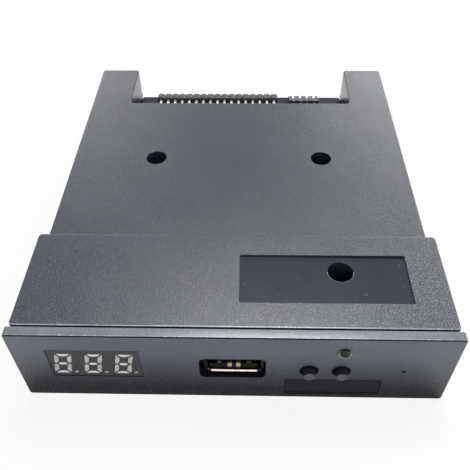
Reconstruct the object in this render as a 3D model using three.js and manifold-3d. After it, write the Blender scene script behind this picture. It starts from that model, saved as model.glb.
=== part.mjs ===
// Floppy drive emulator for a 3.5-inch bay, in millimetres, +Z up.
// X runs to the right, Y from the bezel's face to the rear, and Z up from the underside.

import * as THREE from 'three';
import { mergeVertices } from 'three/addons/utils/BufferGeometryUtils.js';
import Module from 'manifold-3d';

const wasm = await Module();
wasm.setup();

// Clearances and overruns shared by all pieces
const rest = 0.1; // between pieces that sit on each other
const seam = 0.3; // between the mouldings of the case
const overrun = 1; // how far a cut runs past the face that it opens
const weld = 0.0001; // corners closer than this are one corner

// Facets of round shapes
const wellSides = 28;
const buttonSides = 14;
const pinSides = 12;
const filletSteps = 3;
const edgeSteps = 2;
const rightAngle = 90;

// Driving dimensions of the bezel, whose width and height the bay sets
const bezel = {
  width: 101.6,
  height: 25.4,
  thickness: 2.4,
  cornerRadius: 0.7,
  edgeRound: 0.25,
};

// The case behind it is as high as the bezel in front, and lower behind the step
const shell = {
  length: 119.5,
  sideInset: 0.7,
  stepDrop: 5.5,
  stepY: 30.9,
  wall: 2,
  floor: 2,
  roof: 2,
  splitRise: 2.4,
  cornerRadius: 1,
  edgeRound: 0.4,
};

const notch = {
  width: 74.2,
  depth: 21.1,
};

// The circuit board and what stands on it
const board = {
  drop: 17.8,
  thickness: 1.6,
  sideGap: 2.1,
  rearSideGap: 0.4,
  rearGap: 1.2,
  frontY: 12.6,
  tongueY: 4.6,
  tongueGap: 4.8,
  tongueRightX: 32,
  holeRadius: 1.7,
  cornerRadius: 0.6,
};

const well = {
  radius: 3.075,
  wall: 1.1,
  seat: 1.7,
  holeRadius: 1.6,
};

const wellPlaces = {
  spacingX: 50,
  rearInset: 50.75,
  frontX: 25.3,
  frontY: 19.4,
};

const screw = {
  headRadius: 2.6,
  headHeight: 1.9,
  headCrown: 0.5,
  shankRadius: 1.4,
  tipGap: 0.9,
  tipLength: 1.2,
  tipRadius: 0.5,
  crossLength: 2.9,
  crossWidth: 0.7,
  crossDepth: 1.1,
};

const post = {
  radius: 3,
  boreRadius: 1.5,
  boreFloor: 0.6,
};

// Screw blocks along the tray's long sides, for the bay's own screws
const bayBlock = {
  setback: 21.3,
  spacing: 60,
  rearSpacing: 10,
  length: 8.4,
  width: 7.4,
  sideHoleHeight: 5,
  sideHoleDepth: 4.2,
  holeRadius: 1.25,
  bottomInset: 5.9,
  bottomHoleDepth: 4.6,
};

const lip = {
  width: 0.8,
  height: 1.2,
  frontInset: 12,
  rearInset: 30,
};

const labelRecess = {
  rightInset: 28.9,
  centreY: 16.95,
  width: 40,
  length: 14.5,
  depth: 0.5,
  cornerRadius: 0.25,
};

const usbPort = {
  centreX: 0.1,
  axisHeight: 3.6,
  mouthInset: 1.05,
  width: 13.2,
  height: 5.7,
  wall: 0.35,
  length: 14,
  cornerRadius: 1.2,
  lipSpread: 0.45,
  legWidth: 0.35,
  legLength: 2.2,
  legSetback: 4.6,
};

const usbTongue = {
  sideGap: 0.55,
  thickness: 1.84,
  lift: 0.35,
  tipInset: 0.55,
  blockDepth: 5,
  blockGap: 0.12,
  grooveGap: 0.08,
};

const usbContact = {
  width: 1,
  thickness: 0.22,
  tipInset: 0.1,
  wrapDrop: 1.45,
  tailGap: 0.5,
  innerOffset: 1,
  outerOffset: 3.5,
};

const usbSlot = {
  shift: -0.3,
  sideGap: 0.65,
  heightGap: 0.6,
  cornerRadius: 1.3,
};

const display = {
  leftInset: 18,
  topInset: 11.3,
  windowWidth: 21.4,
  windowHeight: 11.2,
  windowRadius: 0.3,
  sideGap: 0.1,
  faceInset: 0.2,
  depth: 8,
  faceThickness: 2,
  wall: 0.3,
  digitPitch: 7.06,
  digitWidth: 4,
  digitHeight: 8.05,
  digitDrop: 0.41,
  digitShift: -0.48,
  slantShare: 0.18,
  segmentWidth: 1,
  segmentGap: 0.46,
  cornerCut: 0.5,
  dotRadius: 0.5,
  dotOffset: 3.15,
  fillGap: 0.05,
  fillInset: 0.05,
  backingThickness: 1,
};

const displayBoard = {
  thickness: 1.2,
  width: 28.6,
  bottom: 6.3,
  topGap: 2.7,
  cornerRadius: 0.5,
};

const peg = {
  offsetX: 12.6,
  radius: 1.1,
  tipRadius: 0.75,
  tipLength: 1,
  holeGap: 0.15,
};

const driverChip = {
  length: 10,
  width: 3.9,
  thickness: 1.4,
  lift: 2.6,
  leads: 8,
  leadPitch: 1.1,
  leadWidth: 0.4,
  leadLength: 0.7,
  leadThickness: 0.25,
  standOff: 0.15,
};

const displayLink = {
  pins: 4,
  pitch: 2.54,
  bodyWidth: 2.5,
  bodyHeight: 2.5,
  setback: 2.2,
  pinWidth: 0.64,
};

const hook = {
  width: 8,
  thickness: 1,
  gap: 1.2,
  reach: 8.4,
  barbLength: 1.4,
  ribThickness: 1.2,
  ribHeight: 0.9,
  topX: 30,
  bottomInset: 11.1,
};

const buttons = {
  leftX: 17.55,
  spacing: 7.45,
  axisHeight: 3.05,
  holeRadius: 2.22,
  stemRadius: 1.45,
  standOut: 1.65,
  tipRound: 0.15,
  flangeRadius: 2.1,
  flangeThickness: 0.8,
  nubRadius: 0.9,
  nubLength: 0.6,
};

const tactSwitch = {
  width: 6,
  height: 6,
  depth: 3.9,
  faceInset: 3.1,
  pocketRadius: 2.45,
  pocketDepth: 2.6,
  plateThickness: 0.3,
  plateHoleRadius: 1.75,
  domeRadius: 2.1,
  domeHeight: 0.5,
  domeThickness: 0.15,
};

const led = {
  centreX: 24.85,
  topInset: 5.55,
  holeRadius: 1.7,
  bodyRadius: 1.5,
  domeOut: 1.35,
  length: 5.85,
  flangeRadius: 1.9,
  flangeThickness: 1,
  leadSpacing: 2.54,
  leadWidth: 0.5,
  leadReach: 5.6,
};

const pinhole = {
  rightInset: 10.7,
  centreZ: 12.4,
  radius: 0.52,
};

// Shallow field in the bezel's face under the buttons
const lowField = {
  centreX: 23.5,
  centreZ: 5.1,
  width: 23,
  height: 7,
  depth: 0.35,
  cornerRadius: 0.3,
};

const ribbonHeader = {
  positions: 17,
  pitch: 2.54,
  centreX: -8.3,
  rearInset: 9.5,
  bodyThickness: 2.54,
  bodyHeight: 5.08,
  scallop: 0.55,
  pinWidth: 0.64,
  pinReach: 6,
  lowTailReach: 1.5,
};

const powerHeader = {
  positions: 4,
  pitch: 2.5,
  centreX: 23.1,
  rearInset: 8.1,
  bodyWidth: 10.6,
  bodyThickness: 2,
  bodyHeight: 3.1,
  shelfThickness: 0.5,
  shelfLength: 5,
  pinWidth: 0.7,
  pinHeight: 1.7,
  tailReach: 1.6,
};

const jumperHeader = {
  positions: 7,
  rows: 2,
  pitch: 2.54,
  leftInset: 23.1,
  notchInset: 8.4,
  bodyHeight: 2.5,
  scallop: 0.4,
  pinWidth: 0.64,
  pinHeight: 6.4,
};

const jumperCap = {
  width: 2.3,
  length: 4.9,
  height: 4.2,
  holeWidth: 0.9,
  firstPosition: 1,
  secondPosition: 4,
};

const serviceHeader = {
  positions: 4,
  pitch: 2.54,
  rightInset: 14.1,
  centreY: 52,
};

const mainChip = {
  centreX: -6,
  centreY: 56,
  side: 10,
  thickness: 1.4,
  leads: 10,
  leadPitch: 0.8,
  leadWidth: 0.3,
  leadLength: 0.7,
  leadThickness: 0.2,
  standOff: 0.15,
};

const crystal = {
  centreX: 11,
  centreY: 54,
  length: 11.2,
  width: 4.6,
  height: 3.4,
  brim: 0.4,
  brimThickness: 0.4,
};

const regulator = {
  rightInset: 19.1,
  notchInset: 12.4,
  width: 6.5,
  length: 3.5,
  thickness: 1.6,
  tabWidth: 3,
  leads: 3,
  leadPitch: 2.3,
  leadWidth: 0.7,
  leadLength: 1.5,
  leadThickness: 0.3,
};

const capacitor = {
  firstRightInset: 30.1,
  firstRearInset: 10.4,
  secondRightInset: 40.1,
  secondRearInset: 8.4,
  radius: 2.5,
  height: 5.4,
  baseSide: 5.3,
  baseHeight: 0.8,
  baseCorner: 0.9,
  neck: 0.2,
  neckHeight: 0.6,
};

// Finishes, from the photograph where it shows them
const finishes = {
  casePlastic: { color: 0x54575b, roughness: 0.42, metalness: 0 },
  bezelPlastic: { color: 0x45474c, roughness: 0.38, metalness: 0 },
  solderMask: { color: 0x1c3a2b, roughness: 0.45, metalness: 0 },
  blackPlastic: { color: 0x17181a, roughness: 0.5, metalness: 0 },
  greyNylon: { color: 0x8b8e93, roughness: 0.5, metalness: 0 },
  displayFace: { color: 0x3c3b40, roughness: 0.5, metalness: 0 },
  segmentEpoxy: { color: 0xc9c8be, roughness: 0.35, metalness: 0 },
  darkSteel: { color: 0x2b2d31, roughness: 0.3, metalness: 0.9 },
  tinPlate: { color: 0xb9bbba, roughness: 0.3, metalness: 1 },
  goldPlate: { color: 0xc9a55a, roughness: 0.3, metalness: 1 },
  greenLens: { color: 0x3f6b4c, roughness: 0.15, metalness: 0 },
  aluminiumCan: { color: 0xb4b6b8, roughness: 0.35, metalness: 1 },
  blueBox: { color: 0x2a4d7a, roughness: 0.5, metalness: 0 },
};

// Heights and places that several pieces share
const caseWidth = bezel.width - 2 * shell.sideInset;
const caseFront = bezel.thickness + seam;
const halfWidth = caseWidth / 2;
const halfNotch = notch.width / 2;
const notchY = shell.length - notch.depth;
const lowTop = bezel.height - shell.stepDrop;
const highTop = bezel.height;
const lowCeiling = lowTop - shell.roof;
const highCeiling = highTop - shell.roof;
const boardUnderside = bezel.height - board.drop;
const boardTop = boardUnderside + board.thickness;
const splitHeight = boardUnderside + shell.splitRise;
const usbHeight = boardTop + usbPort.axisHeight;
const buttonHeight = boardTop + buttons.axisHeight;
const ledHeight = bezel.height - led.topInset;
const displayX = display.leftInset - halfWidth;
const displayZ = bezel.height - display.topInset;
const postTop = boardUnderside - rest;
const wellFloor = boardTop + rest;
const screwSeat = wellFloor + well.seat + rest;
const boardRear = shell.length - board.rearGap;
const jumperX = jumperHeader.leftInset - halfWidth;
const jumperY = notchY - jumperHeader.notchInset;
const wells = [
  { centre: [-wellPlaces.spacingX / 2, shell.length - wellPlaces.rearInset], ceiling: lowCeiling },
  { centre: [wellPlaces.spacingX / 2, shell.length - wellPlaces.rearInset], ceiling: lowCeiling },
  { centre: [wellPlaces.frontX, wellPlaces.frontY], ceiling: highCeiling },
];
const displayBack = display.faceInset + display.depth;
const linkY = displayBack + rest + displayBoard.thickness + rest;
const blockPlaces = [0, bayBlock.spacing, bayBlock.spacing + bayBlock.rearSpacing].map(
  (step) => bezel.thickness + bayBlock.setback + step,
);

// A closed geometry becomes a solid once its shared corners are merged
function toSolid(geometry) {
  const bare = geometry.clone();
  bare.deleteAttribute('normal');
  bare.deleteAttribute('uv');
  const merged = mergeVertices(bare, weld);
  const corners = merged.index.array;
  const faces = [];
  for (let k = 0; k < corners.length; k += 3) {
    const [a, b, c] = [corners[k], corners[k + 1], corners[k + 2]];
    if (a !== b && b !== c && c !== a) faces.push(a, b, c);
  }
  return new wasm.Manifold(new wasm.Mesh({
    numProp: 3,
    vertProperties: new Float32Array(merged.attributes.position.array),
    triVerts: new Uint32Array(faces),
  }));
}

function toGeometry(solid) {
  const mesh = solid.getMesh();
  const geometry = new THREE.BufferGeometry();
  geometry.setAttribute('position', new THREE.BufferAttribute(mesh.vertProperties, 3));
  geometry.setIndex(new THREE.BufferAttribute(mesh.triVerts, 1));
  geometry.computeVertexNormals();
  return geometry;
}

function part(name, solid, finish, place = [0, 0, 0]) {
  const mesh = new THREE.Mesh(toGeometry(solid), new THREE.MeshStandardMaterial(finish));
  mesh.name = name;
  mesh.position.set(...place);
  return mesh;
}

const join = (solids) => solids.reduce((whole, piece) => whole.add(piece));
const cut = (solid, tools) => tools.reduce((whole, tool) => whole.subtract(tool), solid);
const about = (centre, size) => [centre - size / 2, centre + size / 2];
const rowPlaces = (count, pitch) => Array.from(
  { length: count },
  (_, k) => (k - (count - 1) / 2) * pitch,
);

function block([x0, x1], [y0, y1], [z0, z1]) {
  const geometry = new THREE.BoxGeometry(x1 - x0, y1 - y0, z1 - z0);
  geometry.translate((x0 + x1) / 2, (y0 + y1) / 2, (z0 + z1) / 2);
  return toSolid(geometry);
}

// Outline through the points, with every corner rounded by the same radius
function outline(points, radius = 0) {
  const shape = new THREE.Shape();
  const vectors = points.map(([x, y]) => new THREE.Vector2(x, y));
  const path = vectors.flatMap((corner, k) => {
    if (radius === 0) return [corner];
    const before = vectors[(k + vectors.length - 1) % vectors.length];
    const after = vectors[(k + 1) % vectors.length];
    const back = before.clone().sub(corner).setLength(radius);
    const ahead = after.clone().sub(corner).setLength(radius);
    const centre = corner.clone().add(back).add(ahead);
    return Array.from({ length: filletSteps + 1 }, (_, step) => {
      const angle = (step / filletSteps) * Math.PI / 2;
      return centre.clone()
        .addScaledVector(ahead, -Math.cos(angle))
        .addScaledVector(back, -Math.sin(angle));
    });
  });
  shape.setFromPoints(path);
  return shape;
}

function rectangle([x0, x1], [y0, y1], radius = 0) {
  return outline([[x0, y0], [x1, y0], [x1, y1], [x0, y1]], radius);
}

// Prisms that stand along each axis, with edges rounded at both ends where a round is given
function prism(shape, depth, round) {
  const geometry = new THREE.ExtrudeGeometry(shape, {
    depth: depth - 2 * round,
    bevelEnabled: round > 0,
    bevelThickness: round,
    bevelSize: round,
    bevelOffset: -round,
    bevelSegments: edgeSteps,
  });
  return geometry.translate(0, 0, round);
}

function alongZ(shape, [z0, z1], round = 0) {
  return toSolid(prism(shape, z1 - z0, round).translate(0, 0, z0));
}

function alongY(shape, [y0, y1], round = 0) {
  return toSolid(prism(shape, y1 - y0, round).rotateX(Math.PI / 2).translate(0, y1, 0));
}

function alongX(shape, [x0, x1], round = 0) {
  const turned = new THREE.Matrix4().makeBasis(
    new THREE.Vector3(0, 1, 0),
    new THREE.Vector3(0, 0, 1),
    new THREE.Vector3(1, 0, 0),
  );
  return toSolid(prism(shape, x1 - x0, round).applyMatrix4(turned).translate(x0, 0, 0));
}

function rodZ(radius, [x, y], [z0, z1], sides = pinSides) {
  const geometry = new THREE.CylinderGeometry(radius, radius, z1 - z0, sides);
  return toSolid(geometry.rotateX(Math.PI / 2).translate(x, y, (z0 + z1) / 2));
}

function rodY(radius, [x, z], [y0, y1], sides = pinSides) {
  const geometry = new THREE.CylinderGeometry(radius, radius, y1 - y0, sides);
  return toSolid(geometry.translate(x, (y0 + y1) / 2, z));
}

function rodX(radius, [y, z], [x0, x1], sides = pinSides) {
  const geometry = new THREE.CylinderGeometry(radius, radius, x1 - x0, sides);
  return toSolid(geometry.rotateZ(Math.PI / 2).translate((x0 + x1) / 2, y, z));
}

// A turned body about the Y axis: each point is a radius and a distance along Y
function turnedY(profile, sides = pinSides) {
  const points = profile.map(([radius, y]) => new THREE.Vector2(radius, y));
  return toSolid(new THREE.LatheGeometry(points, sides));
}

// Plan of the stepped case behind the bezel, with the notch for the cables in its rear edge
function notchedPlan(inset, front) {
  const side = halfWidth - inset;
  const rear = shell.length - inset;
  const ear = halfNotch + inset;
  const inner = notchY - inset;
  return [
    [-side, front], [side, front], [side, rear], [ear, rear],
    [ear, inner], [-ear, inner], [-ear, rear], [-side, rear],
  ];
}

// Catch rib that a bezel hook snaps behind, standing on the ceiling or the floor
function catchRib(centreX, surface, up) {
  const rear = bezel.thickness + hook.reach - hook.barbLength - seam;
  const z = [surface - up * shell.floor / 2, surface + up * hook.ribHeight].sort((a, b) => a - b);
  return block(about(centreX, hook.width + 2 * seam), [rear - hook.ribThickness, rear], z);
}

function topCover() {
  const { edgeRound, cornerRadius, wall } = shell;
  const base = splitHeight + rest;
  const low = alongZ(
    outline(notchedPlan(0, caseFront), cornerRadius),
    [base - edgeRound, lowTop],
    edgeRound,
  );
  const high = alongZ(
    rectangle([-halfWidth, halfWidth], [caseFront, shell.stepY], cornerRadius),
    [base - edgeRound, highTop],
    edgeRound,
  );
  const belowSplit = block(
    about(0, caseWidth + overrun),
    [0, shell.length + overrun],
    [base - 2 * edgeRound, base],
  );
  const lowHollow = alongZ(outline(notchedPlan(wall, 0)), [base - overrun, lowCeiling]);
  const highHollow = block(
    about(0, caseWidth - 2 * wall),
    [0, shell.stepY - wall],
    [base - overrun, highCeiling],
  );
  const recess = alongZ(
    rectangle(
      about(halfWidth - labelRecess.rightInset, labelRecess.width),
      about(labelRecess.centreY, labelRecess.length),
      labelRecess.cornerRadius,
    ),
    [highTop - labelRecess.depth, highTop + overrun],
  );
  const wellBodies = wells.map(({ centre, ceiling }) => rodZ(
    well.radius + well.wall,
    centre,
    [wellFloor, ceiling + shell.roof / 2],
    wellSides,
  ));
  const wellBores = wells.map(({ centre }) => rodZ(
    well.radius,
    centre,
    [wellFloor + well.seat, highTop + overrun],
    wellSides,
  ));
  const screwHoles = wells.map(({ centre }) => rodZ(
    well.holeRadius,
    centre,
    [wellFloor - overrun, wellFloor + well.seat + overrun],
  ));
  const ribs = [-1, 1].map((side) => catchRib(side * hook.topX, highCeiling, -1));
  const lipRooms = [-1, 1].map((side) => {
    const inner = side * (halfWidth - wall - overrun);
    const outer = side * (halfWidth - wall + lip.width + rest);
    return block(
      [Math.min(inner, outer), Math.max(inner, outer)],
      [caseFront + lip.frontInset - seam, shell.length - lip.rearInset + seam],
      [base - overrun, base + lip.height + rest],
    );
  });
  const shellBody = cut(low.add(high), [belowSplit, lowHollow, highHollow, recess]);
  return cut(join([shellBody, ...wellBodies, ...ribs]), [...wellBores, ...screwHoles, ...lipRooms]);
}

function bottomTray() {
  const { edgeRound, cornerRadius, wall, floor, length } = shell;
  const body = alongZ(
    rectangle([-halfWidth, halfWidth], [caseFront, length], cornerRadius),
    [0, splitHeight + 2 * edgeRound],
    edgeRound,
  );
  const aboveSplit = block(
    about(0, caseWidth + overrun),
    [0, length + overrun],
    [splitHeight, splitHeight + overrun],
  );
  const hollow = block(
    about(0, caseWidth - 2 * wall),
    [0, length - wall],
    [floor, splitHeight + overrun],
  );
  const sillGap = block(
    about(0, notch.width),
    [length - wall - overrun, length + overrun],
    [postTop, splitHeight + overrun],
  );
  const earWalls = [-1, 1].map((side) => block(
    about(side * (halfNotch + wall / 2), wall),
    [notchY, length - wall / 2],
    [floor / 2, splitHeight],
  ));
  const posts = wells.map(({ centre }) => rodZ(post.radius, centre, [floor / 2, postTop], wellSides));
  const postBores = wells.map(({ centre }) => rodZ(
    post.boreRadius,
    centre,
    [floor + post.boreFloor, postTop + overrun],
  ));
  const blockWidth = bayBlock.width + wall / 2;
  const blocks = [-1, 1].flatMap((side) => blockPlaces.map((y) => block(
    about(side * (halfWidth - wall / 2 - blockWidth / 2), blockWidth),
    about(y, bayBlock.length),
    [floor / 2, postTop],
  )));
  const sideHoles = [-1, 1].flatMap((side) => blockPlaces.map((y) => {
    const ends = [side * (halfWidth + overrun), side * (halfWidth - bayBlock.sideHoleDepth)];
    return rodX(bayBlock.holeRadius, [y, bayBlock.sideHoleHeight], ends.sort((a, b) => a - b));
  }));
  const bottomHoles = [-1, 1].flatMap((side) => blockPlaces.map((y) => rodZ(
    bayBlock.holeRadius,
    [side * (halfWidth - bayBlock.bottomInset), y],
    [-overrun, bayBlock.bottomHoleDepth],
  )));
  const lips = [-1, 1].map((side) => block(
    about(side * (halfWidth - wall + lip.width / 2), lip.width),
    [caseFront + lip.frontInset, length - lip.rearInset],
    [splitHeight - wall, splitHeight + lip.height],
  ));
  const ribs = [-1, 1].map((side) => catchRib(side * (halfWidth - hook.bottomInset), floor, 1));
  const tray = cut(body, [aboveSplit, hollow, sillGap]);
  return cut(
    join([tray, ...earWalls, ...posts, ...blocks, ...lips, ...ribs]),
    [...postBores, ...sideHoles, ...bottomHoles],
  );
}

// Hook on the bezel's back: an arm with a barb at its end, towards the ceiling or the floor
function bezelHook(centreX, surface, up) {
  const inner = surface + hook.gap * up;
  const arm = [inner, inner + hook.thickness * up].sort((a, b) => a - b);
  const barb = [surface + seam * up, inner + hook.thickness * up].sort((a, b) => a - b);
  const tip = bezel.thickness + hook.reach;
  return join([
    block(about(centreX, hook.width), [bezel.thickness / 2, tip], arm),
    block(about(centreX, hook.width), [tip - hook.barbLength, tip], barb),
  ]);
}

function frontBezel() {
  const { width, height, thickness, cornerRadius, edgeRound } = bezel;
  const plate = alongY(
    rectangle(about(0, width), [0, height], cornerRadius),
    [0, thickness],
    edgeRound,
  );
  const through = [-overrun, thickness + overrun];
  const hooks = [-1, 1].flatMap((side) => [
    bezelHook(side * hook.topX, highCeiling, -1),
    bezelHook(side * (halfWidth - hook.bottomInset), shell.floor, 1),
  ]);
  const pegs = [-1, 1].flatMap((side) => {
    const centre = [displayX + side * peg.offsetX, displayZ];
    return [
      rodY(peg.radius, centre, [thickness / 2, displayBack]),
      rodY(peg.tipRadius, centre, [thickness / 2, linkY + peg.tipLength]),
    ];
  });
  const buttonHoles = [0, 1].map((k) => rodY(
    buttons.holeRadius,
    [buttons.leftX + k * buttons.spacing, buttonHeight],
    through,
    wellSides,
  ));
  const tools = [
    alongY(
      rectangle(
        about(displayX, display.windowWidth),
        about(displayZ, display.windowHeight),
        display.windowRadius,
      ),
      through,
    ),
    alongY(
      rectangle(
        about(
          usbPort.centreX + usbSlot.shift,
          usbPort.width + 2 * (usbPort.lipSpread + usbSlot.sideGap),
        ),
        about(usbHeight, usbPort.height + 2 * (usbPort.lipSpread + usbSlot.heightGap)),
        usbSlot.cornerRadius,
      ),
      through,
    ),
    alongY(
      rectangle(
        about(lowField.centreX, lowField.width),
        about(lowField.centreZ, lowField.height),
        lowField.cornerRadius,
      ),
      [-overrun, lowField.depth],
    ),
    rodY(led.holeRadius, [led.centreX, ledHeight], through, wellSides),
    rodY(pinhole.radius, [halfWidth - pinhole.rightInset, pinhole.centreZ], through),
    ...buttonHoles,
  ];
  return cut(join([plate, ...hooks, ...pegs]), tools);
}

function mainBoard() {
  const side = halfWidth - shell.wall - board.sideGap;
  const tongueLeft = displayX + displayBoard.width / 2 + board.tongueGap;
  const rearSide = halfNotch - board.rearSideGap;
  const waist = notchY - shell.wall;
  const plan = outline([
    [-side, board.frontY], [tongueLeft, board.frontY], [tongueLeft, board.tongueY],
    [board.tongueRightX, board.tongueY], [board.tongueRightX, board.frontY], [side, board.frontY],
    [side, waist], [rearSide, waist], [rearSide, boardRear],
    [-rearSide, boardRear], [-rearSide, waist], [-side, waist],
  ], board.cornerRadius);
  const holes = wells.map(({ centre }) => rodZ(
    board.holeRadius,
    centre,
    [-board.thickness - overrun, overrun],
  ));
  return cut(alongZ(plan, [-board.thickness, 0]), holes);
}

function caseScrew() {
  const { headRadius, headHeight, headCrown, shankRadius, tipLength, tipRadius } = screw;
  const shankLength = screwSeat - shell.floor - post.boreFloor - screw.tipGap;
  const turned = turnedY([
    [0, -shankLength],
    [tipRadius, -shankLength],
    [shankRadius, tipLength - shankLength],
    [shankRadius, 0],
    [headRadius, 0],
    [headRadius, headHeight - headCrown],
    [headRadius - headCrown, headHeight],
    [0, headHeight],
  ]).rotate([rightAngle, 0, 0]);
  const slot = [headHeight - screw.crossDepth, headHeight + overrun];
  return cut(turned, [
    block(about(0, screw.crossLength), about(0, screw.crossWidth), slot),
    block(about(0, screw.crossWidth), about(0, screw.crossLength), slot),
  ]);
}

// The port's pieces are laid out from the centre of its mouth
// Its folded sheet spreads there into a funnel that guides the plug
function usbShell() {
  const { width, height, wall, length, cornerRadius, lipSpread } = usbPort;
  const section = (inset) => rectangle(
    about(0, width - 2 * inset),
    about(0, height - 2 * inset),
    cornerRadius - inset,
  );
  const ring = (inset, y) => section(inset).getPoints().map((point) => [point.x, y, point.y]);
  const funnel = (inset, front) => wasm.Manifold.hull([
    ...ring(inset - lipSpread + front, front),
    ...ring(inset, lipSpread),
  ]);
  const outer = alongY(section(0), [0, length]).add(funnel(0, 0));
  const bore = alongY(section(wall), [-overrun, length + overrun]).add(funnel(wall, -overrun));
  const legs = [-1, 1].map((side) => block(
    about(side * (width / 2 - usbPort.legWidth / 2 - cornerRadius), usbPort.legWidth),
    [usbPort.legSetback, usbPort.legSetback + usbPort.legLength],
    [rest - usbPort.axisHeight, wall / 2 - height / 2],
  ));
  return join([outer.subtract(bore), ...legs]);
}

const tongueTop = usbPort.wall - usbPort.height / 2 + usbTongue.lift + usbTongue.thickness;

function usbInsulator() {
  const { width, height, wall, length } = usbPort;
  const { blockDepth, blockGap, grooveGap, sideGap, tipInset, thickness } = usbTongue;
  const backBlock = block(
    about(0, width - 2 * (wall + blockGap) - usbPort.cornerRadius),
    [length - blockDepth, length],
    about(0, height - 2 * (wall + blockGap)),
  );
  const tongue = block(
    about(0, width - 2 * (wall + sideGap)),
    [tipInset, length - blockDepth / 2],
    [tongueTop - thickness, tongueTop],
  );
  const grooves = contactOffsets().map((x) => block(
    about(x, usbContact.width + 2 * grooveGap),
    [length - blockDepth - overrun, length + overrun],
    [tongueTop, tongueTop + usbContact.thickness + 2 * grooveGap],
  ));
  return cut(backBlock.add(tongue), grooves);
}

function contactOffsets() {
  const { outerOffset, innerOffset } = usbContact;
  return [-outerOffset, -innerOffset, innerOffset, outerOffset];
}

// The inner contacts wrap down over the tongue's tip, and the outer ones end on top of it
function usbContactStrip(wrapped) {
  const { width, thickness, tipInset, wrapDrop, tailGap } = usbContact;
  const low = tongueTop + usbTongue.grooveGap;
  const front = usbTongue.tipInset + (wrapped ? -usbTongue.grooveGap : tipInset);
  const rear = usbPort.length + tailGap;
  const wrap = [
    [front - thickness, low + thickness],
    [front - thickness, tongueTop - wrapDrop],
    [front, tongueTop - wrapDrop],
  ];
  const profile = outline([
    [front, low], [rear, low], [rear, rest - usbPort.axisHeight],
    [rear + thickness, rest - usbPort.axisHeight], [rear + thickness, low + thickness],
    ...(wrapped ? wrap : [[front, low + thickness]]),
  ]);
  return alongX(profile, about(0, width));
}

// A digit's seven bars, mitred at its corners, and its dot, all grown by a gap and slanted.
// The top bar and the upper left one are drawn, and the others are mirrored from them.
// The uprights' outer corners are nicked where they meet at the digit's waist.
function digitOutlines(grow) {
  const { digitWidth, digitHeight, segmentWidth, segmentGap, cornerCut, dotOffset, dotRadius } = display;
  const [side, top] = [digitWidth / 2 + grow, digitHeight / 2 + grow];
  const width = segmentWidth + 2 * grow;
  const half = segmentGap / 2 - grow;
  const mitre = half * Math.SQRT2;
  const corner = cornerCut + grow;
  const nick = cornerCut / 2 + grow;
  const tip = width / 2 + 2 * mitre - half;
  const barEnd = [
    [corner - side, top],
    [(corner + mitre) / 2 - side, top - (corner - mitre) / 2],
    [width + mitre - side, top - width],
  ];
  const bar = [...barEnd, ...barEnd.map(([x, z]) => [-x, z]).reverse()];
  const upright = [
    [-side, top - corner],
    [(corner - mitre) / 2 - side, top - (corner + mitre) / 2],
    [width - side, top - width - mitre],
    [width - side, width / 2 + half],
    [width / 2 - side, half],
    [nick - side, half],
    [-side, half + nick],
  ];
  const middleEnd = [
    [tip + width / 2 - side, -width / 2],
    [tip - side, 0],
    [tip + width / 2 - side, width / 2],
  ];
  const middle = [...middleEnd, ...middleEnd.map(([x, z]) => [-x, z]).reverse()];
  const mirrored = (points, signX, signZ) => points.map(([x, z]) => [x * signX, z * signZ]);
  const bars = [-1, 1].flatMap((signZ) => [
    mirrored(bar, 1, signZ),
    mirrored(upright, 1, signZ),
    mirrored(upright, -1, signZ),
  ]);
  const dotZ = (segmentWidth - digitHeight) / 2;
  const dot = Array.from({ length: pinSides }, (_, k) => {
    const angle = (k / pinSides) * 2 * Math.PI;
    const radius = dotRadius + grow;
    return [dotOffset + radius * Math.cos(angle), dotZ + radius * Math.sin(angle)];
  });
  return [...bars, middle, dot].map((points) => outline(slanted(points)));
}

function slanted(points) {
  return points.map(([x, z]) => [x + z * display.slantShare, z]);
}

const digitCentres = [-1, 0, 1].map((step) => [
  step * display.digitPitch + display.digitShift,
  -display.digitDrop,
]);

// The display's pieces are laid out from the centre of its window in the bezel's face
function displayHousing() {
  const { sideGap, faceInset, faceThickness, wall } = display;
  const width = display.windowWidth - 2 * sideGap;
  const height = display.windowHeight - 2 * sideGap;
  const back = displayBack - rest;
  const body = block(about(0, width), [faceInset, back], about(0, height));
  const hollow = block(
    about(0, width - 2 * wall),
    [faceInset + faceThickness, back + overrun],
    about(0, height - 2 * wall),
  );
  const slots = digitCentres.flatMap(([x, z]) => digitOutlines(display.fillGap).map((shape) => {
    const bar = alongY(shape, [faceInset - overrun, faceInset + faceThickness + overrun]);
    return bar.translate([x, 0, z]);
  }));
  return cut(body, [hollow, ...slots]);
}

function displayDigit() {
  const { faceInset, faceThickness, fillInset, fillGap } = display;
  const backing = faceInset + faceThickness + fillGap;
  const [side, half] = [display.digitWidth / 2, display.digitHeight / 2];
  const plate = alongY(
    outline(slanted([[-side, -half], [display.dotOffset, -half], [side, half], [-side, half]])),
    [backing, backing + display.backingThickness],
  );
  const bars = digitOutlines(0).map((shape) => alongY(
    shape,
    [faceInset + fillInset, backing + display.backingThickness / 2],
  ));
  return join([plate, ...bars]);
}

function displayBoardPlate() {
  const { width, bottom, topGap, thickness, cornerRadius } = displayBoard;
  const front = displayBack + rest;
  const plate = alongY(
    rectangle(about(0, width), [bottom - displayZ, highCeiling - topGap - displayZ], cornerRadius),
    [front, front + thickness],
  );
  return cut(plate, [-1, 1].map((side) => rodY(
    peg.tipRadius + peg.holeGap,
    [side * peg.offsetX, 0],
    [front - overrun, front + thickness + overrun],
  )));
}

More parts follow.
